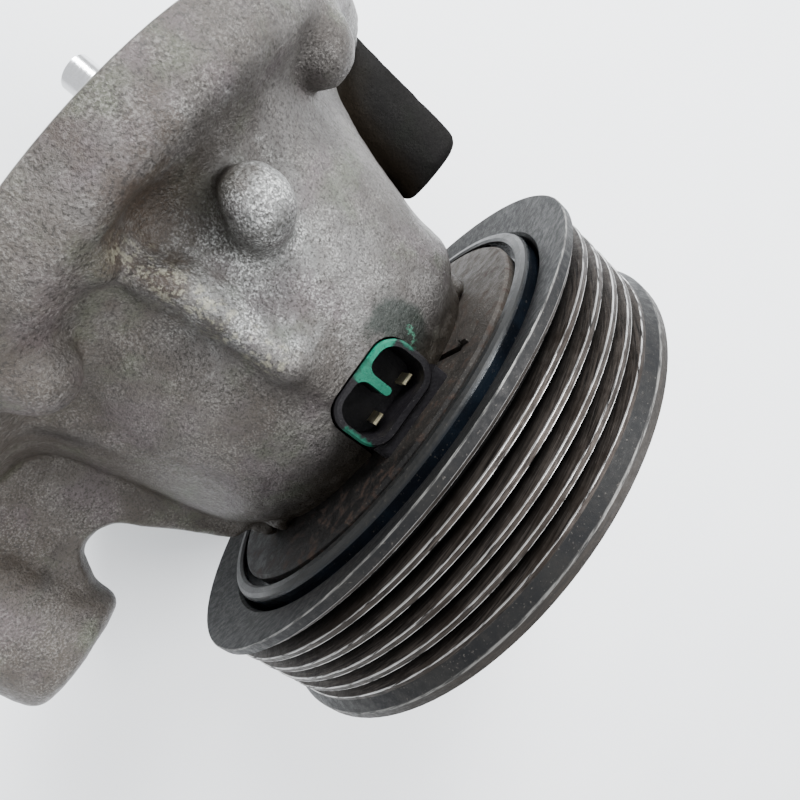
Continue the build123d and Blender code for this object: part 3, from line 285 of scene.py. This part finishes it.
def cast_look():
    """Sand-cast aluminium: grainy grey with painted sparkle and highlights, oily brown stains with painted
    shade, and hollows darkened by dirt and painted shade.
    """
    look = Look("cast_aluminium_skin")
    x, y, z = look.parts()
    blotch = look.noise(0.06, 5.0, 0.6)
    grain = look.noise(1.5, 5.0, 0.68)
    fine = look.noise(3.2, 4.0, 0.62)
    waver = look.noise(0.16, 5.0, 0.65)
    smear = look.math("MULTIPLY", look.math("SUBTRACT", waver, 0.5), 26.0)
    wobbly = look.vector("ADD", look.place, look.joined(smear, smear, smear))

    # painted highlight: lighter skin round the knob and down the lit side of the ridge
    knob_highlight = spot_mask(look, wobbly, (3.0, 43.5, 42.0), 4.0, 17.0)
    ridge_side_highlight = look.math("MULTIPLY", spot_mask(look, wobbly, (10.0, 34.0, 38.0), 3.0, 14.0), 0.35)
    painted_highlight = look.math("MAXIMUM", knob_highlight, ridge_side_highlight)
    dull = look.mix(look.step(blotch, 0.38, 0.62), (0.060, 0.053, 0.048, 1), (0.115, 0.107, 0.102, 1))
    base = look.mix(painted_highlight, dull, (0.155, 0.155, 0.15, 1))
    # brown oil stain with painted shade, strongest toward the left side turned from the light, the low side
    # and the flange
    brown_darkening = look.math("ADD", look.noise(0.07, 6.0, 0.62, distort=0.8), look.step(x, 0.0, -32.0, 0.0, 0.26))
    brown_darkening = look.math("ADD", brown_darkening, look.step(y, 46.0, 54.0, 0.0, 0.10))
    brown_darkening = look.step(brown_darkening, 0.52, 0.78)
    base = look.mix(look.math("MULTIPLY", brown_darkening, 0.6), base, (0.045, 0.034, 0.024, 1))
    # thin greenish and purplish tints in patches
    tint_place = look.vector("ADD", look.place, (40.0, 9.0, 3.0))
    tint = look.step(look.noise(0.11, 4.0, place=tint_place), 0.53, 0.68)
    base = look.mix(look.math("MULTIPLY", tint, 0.40), base, (0.082, 0.098, 0.062, 1))
    blush_place = look.vector("ADD", look.place, (-11.0, 60.0, 23.0))
    blush = look.step(look.noise(0.10, 4.0, place=blush_place), 0.52, 0.68)
    base = look.mix(look.math("MULTIPLY", blush, 0.45), base, (0.088, 0.068, 0.074, 1))
    # rusty brown stain with painted shade in the hollow between the ridge, the knob and the flange
    hollow_stain_and_shade = spot_mask(look, wobbly, (-2.0, 54.0, 45.0), 4.0, 12.5)
    base = look.mix(look.math("MULTIPLY", hollow_stain_and_shade, 0.9), base, (0.034, 0.022, 0.014, 1))

    # painted glints: each cast grain catches the light differently, brightest in the painted highlight
    glint = look.step(fine, 0.46, 0.63)
    bright = look.mix(painted_highlight, (0.30, 0.285, 0.265, 1), (0.78, 0.79, 0.77, 1))
    glint_share = look.math("ADD", look.math("MULTIPLY", painted_highlight, 0.42), 0.34)
    outside_hollow_stain = look.math("SUBTRACT", 1.0, look.math("MULTIPLY", hollow_stain_and_shade, 0.75))
    glint_share = look.math("MULTIPLY", glint_share, outside_hollow_stain)
    patchy = look.step(look.noise(0.22, 5.0, 0.6), 0.38, 0.62, 0.15, 1.0)
    glint_share = look.math("MULTIPLY", glint_share, patchy)
    base = look.mix(look.math("MULTIPLY", glint, glint_share), base, bright)
    dark = look.step(look.noise(2.3, 4.0, 0.7), 0.50, 0.62)
    base = look.mix(look.math("MULTIPLY", dark, 0.72), base, (0.022, 0.019, 0.017, 1))

    # painted highlight: cream patches on the crowns of the ridge and the raised skin
    crown_highlight_noise = look.step(look.noise(0.8, 5.0, 0.7), 0.50, 0.62)
    crest = box_mask(look, (x, y, z), (-8.6, 31.0, 39.0), (-4.2, 54.0, 47.0), 1.4)
    ridge_crown_highlight = look.math("MULTIPLY", crest, crown_highlight_noise)
    base = look.mix(look.math("MULTIPLY", ridge_crown_highlight, 0.42), base, (0.36, 0.345, 0.25, 1))

    # far ear darkened to near black, dark stain beside the plug, darker toward the front edge
    moved = [look.math("ADD", axis, look.math("MULTIPLY", smear, 0.3)) for axis in (x, y, z)]
    ear_x = look.math("SUBTRACT", moved[0], RIGHT_EAR[0])
    ear_z = look.math("SUBTRACT", moved[2], RIGHT_EAR[1])
    ear_darkening = look.step(look.vector("LENGTH", look.joined(ear_x, 0.0, ear_z)), 14.0, 10.5)
    base = look.mix(look.math("MULTIPLY", ear_darkening, 0.94), base, (0.007, 0.007, 0.007, 1))
    spill = box_mask(look, moved, (4.6, 15.0, 28.0), (12.5, 26.0, 44.0), 1.4)
    base = look.mix(look.math("MULTIPLY", spill, 0.72), base, (0.014, 0.022, 0.018, 1))
    paint = spot_mask(look, wobbly, (9.4, 18.6, 33.7), 0.5, 1.3)
    base = look.mix(look.math("MULTIPLY", paint, 0.8), base, (0.10, 0.30, 0.20, 1))
    # darker toward the front edge beside the coil plate
    front_darkening = look.step(moved[1], 18.0, 12.5)
    base = look.mix(look.math("MULTIPLY", front_darkening, 0.72), base, (0.026, 0.023, 0.020, 1))

    # dirt with painted shade in the hollows, darkest where nearby surfaces close in
    hollow = look.tree.nodes.new("ShaderNodeAmbientOcclusion")
    hollow.inputs["Distance"].default_value = 0.008
    hollow.samples = 6
    hollow_dirt_and_shade = look.step(hollow.outputs["AO"], 0.30, 0.95, 0.9, 0.0)
    base = look.mix(hollow_dirt_and_shade, base, (0.022, 0.017, 0.012, 1))
    # milled joint face
    milled = look.step(y, JOINT_FACE_Y - 0.12, JOINT_FACE_Y - 0.04)
    base = look.mix(look.math("MULTIPLY", milled, 0.8), base, (0.36, 0.355, 0.34, 1))
    rise = look.math("SUBTRACT", 1.0, look.math("MULTIPLY", milled, 0.9))
    look.bump(look.math("MULTIPLY", look.noise(0.35, 4.0), rise), 0.5, 0.8)
    look.bump(look.math("MULTIPLY", grain, rise), 0.30, 0.9)
    look.bump(look.math("MULTIPLY", fine, rise), 0.16, 0.9)
    rough = look.math("ADD", look.step(grain, 0.3, 0.7, 0.34, 0.54), look.math("MULTIPLY", brown_darkening, -0.06))
    covered = look.math("MAXIMUM", look.math("MAXIMUM", brown_darkening, hollow_dirt_and_shade), hollow_stain_and_shade)
    covered = look.math("MAXIMUM", covered, ear_darkening)
    metal = look.math("MULTIPLY", look.math("SUBTRACT", 1.0, covered), 0.55)
    gloss = look.math("MULTIPLY", look.math("SUBTRACT", 1.0, ear_darkening), 0.35)
    return look.finish(base, rough, metal, Specular_IOR_Level=gloss)


def machined_look(name, pale, dark, rough_low, rough_high, metal=1.0, streak=7.0):
    """Turned or ground metal with fine rings round the shaft axis and a little staining."""
    look = Look(name)
    rings = look.noise(streak, 4.0, 0.6, place=look.turned_place(along=1.0, around=0.02))
    stain = look.noise(0.18, 5.0, 0.6)
    colour = look.mix(rings, dark, pale)
    colour = look.mix(look.step(stain, 0.55, 0.75, 0.0, 0.55), colour, (0.10, 0.075, 0.05, 1))
    look.bump(rings, 0.02, 0.8)
    look.bump(look.noise(2.0, 3.0), 0.015, 0.6)
    return look.finish(colour, look.step(rings, 0.3, 0.7, rough_low, rough_high), metal)


def pulley_look():
    """Black coat on the rims, oily brown flanks with streaks, bright lines along the crests."""
    look = Look("pulley_worn_coat")
    y = look.parts()[1]
    radius = look.radius()
    streaks = look.noise(3.2, 5.0, 0.62, place=look.turned_place(along=1.0, around=0.10))
    fine_streaks = look.noise(9.0, 3.0, 0.6, place=look.turned_place(along=1.0, around=0.05))
    patches = look.noise(0.10, 5.0, 0.6)
    mottle = look.noise(0.8, 5.0, 0.65)
    grit = look.noise(2.6, 3.0, 0.6)

    coat = look.mix(look.step(patches, 0.35, 0.7), (0.0045, 0.0046, 0.0052, 1), (0.0095, 0.0091, 0.0086, 1))
    coat = look.mix(look.step(mottle, 0.45, 0.7, 0.0, 0.5), coat, (0.015, 0.0135, 0.0125, 1))
    coat = look.mix(look.step(grit, 0.62, 0.72, 0.0, 0.6), coat, (0.085, 0.077, 0.068, 1))

    flank = look.mix(look.step(streaks, 0.3, 0.7), (0.006, 0.005, 0.0045, 1), (0.050, 0.041, 0.035, 1))
    flank = look.mix(look.step(fine_streaks, 0.50, 0.75, 0.0, 0.5), flank, (0.12, 0.105, 0.098, 1))
    flank = look.mix(look.step(patches, 0.45, 0.65, 0.0, 0.7), flank, (0.019, 0.014, 0.011, 1))
    depth = look.step(radius, GROOVE_FLOOR_R + 0.2, CREST_R - 0.5)
    flank = look.mix(depth, (0.004, 0.0036, 0.0033, 1), flank)

    in_grooves = look.math(
        "MULTIPLY",
        look.step(y, GROOVES_FRONT_Y - 0.1, GROOVES_FRONT_Y + 0.1),
        look.step(y, GROOVES_REAR_Y + 0.05, GROOVES_REAR_Y - 0.15),
    )
    outside = look.step(radius, GROOVE_FLOOR_R - 0.4, GROOVE_FLOOR_R - 0.2)
    in_grooves = look.math("MULTIPLY", in_grooves, outside)
    colour = look.mix(in_grooves, coat, flank)

    # bright polished lines where the belt rubs the two corners of each crest
    phase = look.math("FRACT", look.math("ADD", look.math("DIVIDE", y, GROOVE_PITCH), 20.0))
    off_middle = look.math("ABSOLUTE", look.math("SUBTRACT", phase, 0.5))
    from_crest = look.math("MULTIPLY", off_middle, GROOVE_PITCH)
    waver = look.math("MULTIPLY", look.math("SUBTRACT", patches, 0.5), 0.25)
    corner = look.math("ABSOLUTE", look.math("SUBTRACT", from_crest, CREST_HALF))
    corner = look.math("ADD", corner, waver)
    near_crest = look.step(radius, CREST_R - 0.25, CREST_R - 0.12)
    line = look.math("MULTIPLY", look.step(corner, 0.10, 0.04), near_crest)
    line = look.math("MULTIPLY", line, look.step(streaks, 0.36, 0.54))
    line = look.math("MULTIPLY", line, in_grooves)
    colour = look.mix(line, colour, (0.55, 0.54, 0.53, 1))

    # worn corner lines of both rims
    rear_corner = look.math(
        "MULTIPLY",
        look.step(radius, REAR_RIM_R - 0.26, REAR_RIM_R - 0.14),
        look.step(y, REAR_RIM_Y - 0.30, REAR_RIM_Y - 0.14),
    )
    front_corner = look.math(
        "MULTIPLY",
        look.step(radius, FRONT_RIM_R - 0.20, FRONT_RIM_R - 0.08),
        look.step(y, FRONT_RIM_REAR_Y - 0.20, FRONT_RIM_REAR_Y - 0.05),
    )
    behind_rim = look.step(y, FRONT_RIM_REAR_Y + 0.4, FRONT_RIM_REAR_Y + 0.2)
    front_corner = look.math("MULTIPLY", front_corner, behind_rim)
    edge = look.math("ADD", rear_corner, front_corner, clamp=True)
    edge = look.math("MULTIPLY", edge, look.step(streaks, 0.40, 0.60, 0.10, 0.85))
    colour = look.mix(edge, colour, (0.20, 0.195, 0.185, 1))

    # brown film on the outside of the front rim
    front_rim = look.math(
        "MULTIPLY",
        look.step(y, FRONT_RIM_REAR_Y - 0.05, FRONT_RIM_REAR_Y - 0.2),
        look.step(radius, FRONT_RIM_R - 1.0, FRONT_RIM_R - 0.3),
    )
    brown_darkening = look.math("MULTIPLY", front_rim, look.step(streaks, 0.3, 0.7, 0.3, 0.8))
    colour = look.mix(brown_darkening, colour, (0.026, 0.021, 0.017, 1))

    bare = look.math("MAXIMUM", line, edge)
    metal = look.math("MAXIMUM", look.math("MULTIPLY", in_grooves, 0.65), bare)
    rough = look.math("ADD", look.step(mottle, 0.3, 0.7, 0.62, 0.42), look.math("MULTIPLY", line, -0.12))
    look.bump(mottle, 0.06, 0.5)
    look.bump(streaks, 0.05, 0.8)
    look.bump(fine_streaks, 0.02, 0.8)
    look.bump(grit, 0.06, 0.6)
    return look.finish(colour, rough, metal, Specular_IOR_Level=0.16)


def coil_look():
    """Blue-black lacquered steel; the rolled rear lip is grey where the lacquer has worn."""
    look = Look("coil_lacquer")
    y = look.parts()[1]
    streaks = look.noise(2.4, 5.0, 0.6, place=look.turned_place(along=1.0, around=0.08))
    patches = look.noise(0.16, 5.0, 0.6)
    dust = look.noise(1.8, 4.0, 0.65)
    coat = look.mix(look.step(patches, 0.35, 0.7), (0.0022, 0.0028, 0.004, 1), (0.004, 0.0062, 0.0095, 1))
    lip = look.step(y, COIL_LIP_Y, COIL_LIP_Y + 0.5)
    lip = look.math("MULTIPLY", lip, look.step(dust, 0.25, 0.6, 0.5, 1.0))
    grey = look.mix(streaks, (0.0055, 0.0055, 0.0053, 1), (0.019, 0.0185, 0.0175, 1))
    colour = look.mix(lip, coat, grey)
    colour = look.mix(look.step(dust, 0.62, 0.72, 0.0, 0.5), colour, (0.060, 0.054, 0.046, 1))
    look.bump(streaks, 0.03, 0.7)
    look.bump(dust, 0.05, 0.5)
    rough = look.math("ADD", look.step(patches, 0.3, 0.7, 0.13, 0.24), look.math("MULTIPLY", lip, 0.25))
    return look.finish(colour, rough, look.math("MULTIPLY", lip, 0.15), Specular_IOR_Level=0.22)


def plate_look():
    """Coil plate: thin dark coat with rust, dust and grit."""
    look = Look("rusty_plate_face")
    patches = look.noise(0.14, 6.0, 0.62, distort=0.4)
    rust = look.noise(0.5, 6.0, 0.68)
    grit = look.noise(2.8, 4.0, 0.65)
    x = look.parts()[0]
    # the plate is lighter toward +X, and its grit specks show more there
    plus_x_share = look.math("ADD", look.math("MULTIPLY", x, 0.012), look.math("MULTIPLY", patches, 0.6))
    plus_x_share = look.step(plus_x_share, 0.15, 0.75)
    colour = look.mix(plus_x_share, (0.0045, 0.004, 0.0038, 1), (0.040, 0.034, 0.029, 1))
    colour = look.mix(look.step(rust, 0.50, 0.66, 0.0, 0.75), colour, (0.030, 0.018, 0.013, 1))
    speck = look.step(grit, 0.58, 0.68, 0.0, 0.6)
    speck = look.math("MULTIPLY", speck, look.math("ADD", plus_x_share, 0.25, clamp=True))
    colour = look.mix(speck, colour, (0.15, 0.135, 0.115, 1))
    look.bump(rust, 0.16, 0.9)
    look.bump(grit, 0.14, 0.9)
    return look.finish(colour, look.step(rust, 0.3, 0.7, 0.50, 0.80), 0.1, Specular_IOR_Level=0.16)


def plug_look():
    """Dark moulded plastic with the green inspection paint on part of its rim and divider."""
    look = Look("plug_moulding")
    x, y, z = look.parts()
    grain = look.noise(2.2, 4.0, 0.6)
    scuff = look.noise(0.35, 5.0, 0.6)
    dust = look.noise(3.0, 3.0, 0.6)
    colour = look.mix(grain, (0.0032, 0.0028, 0.0034, 1), (0.0105, 0.0094, 0.0108, 1))
    colour = look.mix(look.step(scuff, 0.55, 0.75, 0.0, 0.6), colour, (0.018, 0.0165, 0.0175, 1))
    colour = look.mix(look.step(dust, 0.66, 0.76, 0.0, 0.6), colour, (0.11, 0.104, 0.098, 1))
    # paint: rear rim at the right corner, faint past the divider, on the divider and the left end
    ragged = look.math("MULTIPLY", look.math("SUBTRACT", look.noise(0.9, 4.0, 0.6), 0.5), 1.8)
    place = [look.math("ADD", axis, ragged) for axis in (x, y, z)]
    rear = box_mask(look, place, (1.8, 20.7, 33.5), (7.2, 23.4, 38.0), 0.3)
    thin = box_mask(look, place, (-1.4, 21.5, 35.4), (2.6, 22.6, 38.0), 0.35)
    divider = box_mask(look, place, (-1.5, 16.2, 35.2), (1.5, 22.4, 38.0), 0.25)
    left_end = box_mask(look, place, (-9.6, 13.9, 35.9), (-7.6, 19.2, 38.0), 0.3)
    corner = box_mask(look, place, (7.0, 18.2, 36.0), (8.6, 20.4, 38.0), 0.4)
    faint = look.math("MULTIPLY", look.math("MAXIMUM", look.math("MAXIMUM", thin, left_end), corner), 0.55)
    paint = look.math("MAXIMUM", rear, look.math("MAXIMUM", look.math("MULTIPLY", divider, 0.72), faint))
    green = look.mix(look.noise(0.8, 3.0), (0.002, 0.070, 0.043, 1), (0.007, 0.175, 0.105, 1))
    colour = look.mix(look.math("MULTIPLY", paint, look.step(grain, 0.22, 0.45)), colour, green)
    look.bump(grain, 0.10, 0.9)
    look.bump(scuff, 0.12, 0.7)
    look.bump(paint, 0.06, 0.8)
    rough = look.math("ADD", look.step(scuff, 0.3, 0.7, 0.36, 0.52), look.math("MULTIPLY", paint, -0.06))
    return look.finish(colour, rough, Specular_IOR_Level=0.16)


def plain_look(name, first, second, rough_low, rough_high, metal=0.0, scale=1.4, depth=0.04):
    """Mottled finish for small or hidden pieces."""
    look = Look(name)
    mottle = look.noise(scale, 5.0, 0.6)
    fine = look.noise(scale * 4, 3.0, 0.6)
    wide = look.noise(scale * 0.2, 4.0, 0.6)
    colour = look.mix(look.step(mottle, 0.35, 0.65), first, second)
    dimmed = tuple(part * 0.45 for part in first[:3]) + (1,)
    colour = look.mix(look.step(wide, 0.52, 0.72, 0.0, 0.5), colour, dimmed)
    look.bump(mottle, depth, 0.8)
    look.bump(fine, depth * 0.4, 0.8)
    gloss = 0.5 if metal else 0.22
    return look.finish(
        colour, look.step(mottle, 0.3, 0.7, rough_low, rough_high), metal, Specular_IOR_Level=gloss
    )


def winding_look():
    """Enamelled copper turns that lie side by side round the axis."""
    look = Look("copper_turns")
    y = look.parts()[1]
    turns = look.math("SINE", look.math("MULTIPLY", y, 2 * math.pi / WIRE_PITCH))
    tone = look.noise(0.8, 4.0)
    colour = look.mix(tone, (0.36, 0.12, 0.045, 1), (0.62, 0.27, 0.11, 1))
    look.bump(turns, 0.12, 1.0)
    return look.finish(colour, look.step(tone, 0.3, 0.7, 0.25, 0.4), 0.9)


def friction_look():
    """Steel face scored round by slipping, rusty between the marks."""
    look = Look("friction_scored")
    rings = look.noise(5.0, 5.0, 0.65, place=look.turned_place(along=1.0, around=0.015))
    rust = look.noise(0.22, 6.0, 0.65)
    colour = look.mix(look.step(rings, 0.3, 0.7), (0.10, 0.09, 0.085, 1), (0.38, 0.36, 0.34, 1))
    colour = look.mix(look.step(rust, 0.50, 0.70, 0.0, 0.8), colour, (0.14, 0.075, 0.04, 1))
    look.bump(rings, 0.04, 0.8)
    look.bump(rust, 0.08, 0.6)
    return look.finish(colour, look.step(rust, 0.3, 0.7, 0.34, 0.65), look.step(rust, 0.5, 0.7, 0.95, 0.25))


PALE_STEEL = (0.50, 0.49, 0.47, 1)
GREY_STEEL = (0.30, 0.29, 0.27, 1)
LOOKS = {
    "machined_steel": machined_look("machined_steel_face", PALE_STEEL, GREY_STEEL, 0.28, 0.42),
    "bearing_steel": machined_look(
        "ground_steel", (0.66, 0.66, 0.67, 1), (0.50, 0.50, 0.51, 1), 0.14, 0.24
    ),
    "black_pulley": pulley_look(),
    "coil_steel": coil_look(),
    "rusty_plate": plate_look(),
    "plug_plastic": plug_look(),
    "bobbin_plastic": plain_look(
        "bobbin_moulding", (0.10, 0.09, 0.08, 1), (0.13, 0.115, 0.10, 1), 0.45, 0.6
    ),
    "potting_resin": plain_look(
        "resin_fill", (0.018, 0.018, 0.02, 1), (0.03, 0.03, 0.032, 1), 0.12, 0.25, scale=0.5
    ),
    "copper_winding": winding_look(),
    "tab_metal": plain_look(
        "gold_plate", (0.66, 0.58, 0.36, 1), (0.80, 0.73, 0.50, 1), 0.28, 0.40, 0.85, 0.45, 0.004
    ),
    "seal_rubber": plain_look(
        "seal_rubber_skin", (0.022, 0.022, 0.022, 1), (0.04, 0.04, 0.04, 1), 0.5, 0.7
    ),
    "damper_rubber": plain_look(
        "damper_rubber_skin", (0.024, 0.023, 0.022, 1), (0.05, 0.046, 0.042, 1), 0.55, 0.75
    ),
    "spring_steel": plain_look(
        "phosphated_steel", (0.085, 0.085, 0.09, 1), (0.17, 0.165, 0.16, 1), 0.35, 0.5, 0.8
    ),
    "cage_plastic": plain_look(
        "nylon_cage", (0.34, 0.25, 0.10, 1), (0.42, 0.32, 0.15, 1), 0.4, 0.55
    ),
    "friction_steel": friction_look(),
}


def dress_nodes():
    """Give each CAD node the finish of its material slot."""
    slots = {entry["node"]: entry["material_slot"] for entry in frame["record"]["subparts"]}
    for node, piece in NODES.items():
        look = LOOKS.get(slots.get(node))
        if look is None or piece.type != "MESH":
            continue
        piece.data.materials.clear()
        piece.data.materials.append(look)


# ---------------------------------------------------------------- cast housing
VOXEL = 0.5
SNAP = 0.42
EDGE_STEP = 0.12
SHARP_ANGLE = math.radians(28)
SKIN_SMOOTH = 60
# crest of the ridge, in millimetres from the flange toward the plug
RIDGE_CREST = (
    (-9.6, 54.0, 45.5),
    (-8.0, 50.6, 43.5),
    (-6.3, 47.3, 42.9),
    (-6.0, 40.6, 41.4),
    (-6.0, 30.8, 39.7),
)
RIDGE_LIFT = 1.9
RIDGE_SPREAD = 2.2
# centre, height and spread of single lumps, dents and casting flash
LUMPS = (
    ((-2.0, 52.0, 43.5), -2.2, 5.5),
    ((1.5, 48.0, 41.0), -0.7, 4.0),
    ((0.5, 37.0, 40.0), -0.5, 5.0),
    ((-12.5, 44.0, 38.5), -0.9, 4.0),
    ((26.2, 12.6, 16.9), 1.1, 1.5),
    ((22.2, 13.6, 22.4), 0.8, 1.6),
    ((-33.5, 17.0, 9.6), 0.7, 1.6),
    ((-32.7, 14.8, 9.5), 1.0, 1.2),
    ((-32.1, 12.8, 10.1), 0.9, 1.2),
    ((-28.5, 13.4, 18.0), 0.6, 1.3),
    ((-21.0, 13.2, 25.5), 0.5, 1.5),
)
FRONT_EDGE_Y = 13.2
FRONT_EDGE_SPREAD = 1.8
# machined zones that keep the exact shape: bores round the shaft, ear faces and the plug's notch
SNOUT_REACH_R = 20.0
SNOUT_REACH_Y = 30.0
EAR_FACE_R = 4.9
PLUG_REACH_X = 9.6
PLUG_REACH_Z = 26.0
# heights of the broad waves, small lumps, pits and the ragged front edge of the skin
WAVE_LIFT = 0.18
LUMP_LIFT = 0.11
PIT_LIFT = 0.04
RAGGED_LIFT = 0.30
SHADE_ANGLE = math.radians(38)


def skin_share(x, y, z):
    """1 on the rough cast skin, 0 on machined faces and near openings; arrays in millimetres."""
    radius = np.hypot(x, z)
    share = np.ones_like(radius)

    def fade(distance, wide):
        return np.clip(distance / wide, 0.0, 1.0)

    share *= fade(y - (NOSE_FACE_Y + 0.2), 1.2)
    share *= fade(JOINT_FACE_Y - 0.4 - y, 1.6)
    share *= np.where((radius < SNOUT_REACH_R) & (y < SNOUT_REACH_Y), 0.0, 1.0)
    for hole_x, hole_z in (LEFT_EAR, RIGHT_EAR):
        share *= fade(np.hypot(x - hole_x, z - hole_z) - EAR_FACE_R, 1.2)
    near_plug = (np.abs(x) < PLUG_REACH_X) & (z > PLUG_REACH_Z) & (y < PLUG_REAR_Y + 1.2)
    share *= np.where(near_plug, 0.0, 1.0)
    return share


def sharp_edge_points(mesh_bm):
    """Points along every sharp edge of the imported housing."""
    points = []
    for edge in mesh_bm.edges:
        if len(edge.link_faces) != 2 or edge.calc_face_angle(0.0) < SHARP_ANGLE:
            continue
        start, end = (corner.co for corner in edge.verts)
        count = max(1, int((end - start).length / (EDGE_STEP * MM)))
        points += [start.lerp(end, step / count) for step in range(count + 1)]
    return points


def line_share(places, line, spread):
    """Bell-shaped share of each place by its distance from a polyline."""
    nearest = np.full(len(places), 1e9)
    for start, end in zip(line[:-1], line[1:]):
        start = np.array(start)
        way = np.array(end) - start
        along = np.clip((places - start) @ way / (way @ way), 0.0, 1.0)
        nearest = np.minimum(nearest, np.linalg.norm(places - start - along[:, None] * way, axis=1))
    return np.exp(-((nearest / spread) ** 2))


def large_lift(places):
    """Ridge, lumps and ragged front edge of the cast skin; everything in millimetres."""
    lift = RIDGE_LIFT * line_share(places, RIDGE_CREST, RIDGE_SPREAD)
    for centre, height, spread in LUMPS:
        away = np.linalg.norm(places - np.array(centre), axis=1)
        lift += height * np.exp(-((away / spread) ** 2))
    return lift


def make_casting():
    """The housing again as a fine mesh: cast skin with soft fillets and lumps, crisp machined edges."""
    source = NODES["front_housing"]
    exact = bmesh.new()
    exact.from_mesh(source.data)
    bmesh.ops.remove_doubles(exact, verts=exact.verts, dist=2e-6)
    nearest_face = BVHTree.FromBMesh(exact)
    edge_points = sharp_edge_points(exact)
    edges = kdtree.KDTree(len(edge_points))
    for index, point in enumerate(edge_points):
        edges.insert(point, index)
    edges.balance()

    mesh = bpy.data.meshes.new("cast_housing")
    exact.to_mesh(mesh)
    exact.free()
    piece = bpy.data.objects.new("cast_housing", mesh)
    bpy.context.scene.collection.objects.link(piece)
    remesh = piece.modifiers.new("remesh", "REMESH")
    remesh.mode = "VOXEL"
    remesh.voxel_size = VOXEL * MM
    remesh.adaptivity = 0.0
    fine = bpy.data.meshes.new_from_object(piece.evaluated_get(bpy.context.evaluated_depsgraph_get()))
    piece.modifiers.clear()
    piece.data = fine

    count = len(fine.vertices)
    places = np.empty(count * 3)
    fine.vertices.foreach_get("co", places)
    places = places.reshape(-1, 3)
    share = skin_share(*(places.T / MM))
    for index in np.nonzero(share < 0.98)[0]:
        place = Vector(places[index])
        point, _, distance = edges.find(place)
        if distance > SNAP * MM:
            point = nearest_face.find_nearest(place)[0]
        places[index] = place.lerp(point, 1.0 - float(share[index]))
    fine.vertices.foreach_set("co", places.ravel())

    group = piece.vertex_groups.new(name="skin")
    levels = np.round(share * 20) / 20
    for level in np.unique(levels):
        if level > 0:
            group.add(np.nonzero(levels == level)[0].tolist(), float(level), "REPLACE")
    smooth = piece.modifiers.new("smooth", "SMOOTH")
    smooth.factor = 0.5
    smooth.iterations = SKIN_SMOOTH
    smooth.vertex_group = "skin"
    soft = bpy.data.meshes.new_from_object(piece.evaluated_get(bpy.context.evaluated_depsgraph_get()))
    piece.modifiers.clear()
    piece.data = soft

    places = np.empty(count * 3)
    soft.vertices.foreach_get("co", places)
    places = places.reshape(-1, 3)
    normals = np.empty(count * 3)
    soft.vertices.foreach_get("normal", normals)
    normals = normals.reshape(-1, 3)
    lift = np.zeros(count)
    for index in np.nonzero(share > 0.02)[0]:
        place = Vector(places[index]) / MM
        broad = noise.noise(place * 0.11)
        lump = noise.noise(place * 0.42 + Vector((7.0, 3.0, 1.0)))
        pit = noise.noise(place * 1.3 + Vector((2.0, 9.0, 4.0)))
        ragged = math.exp(-(((place.y - FRONT_EDGE_Y) / FRONT_EDGE_SPREAD) ** 2)) * lump
        lift[index] = WAVE_LIFT * broad + LUMP_LIFT * lump + PIT_LIFT * pit + RAGGED_LIFT * ragged
    lift += large_lift(places / MM)
    places += normals * (lift * share * MM)[:, None]
    soft.vertices.foreach_set("co", places.ravel())
    soft.update()
    soft.shade_smooth()
    soft.set_sharp_from_angle(angle=SHADE_ANGLE)
    soft.materials.clear()
    soft.materials.append(cast_look())
    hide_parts("front_housing")
    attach(piece, "compressor_nose")
    return piece


# ---------------------------------------------------------------- scene
make_camera()
make_stage()
dress_nodes()
make_casting()
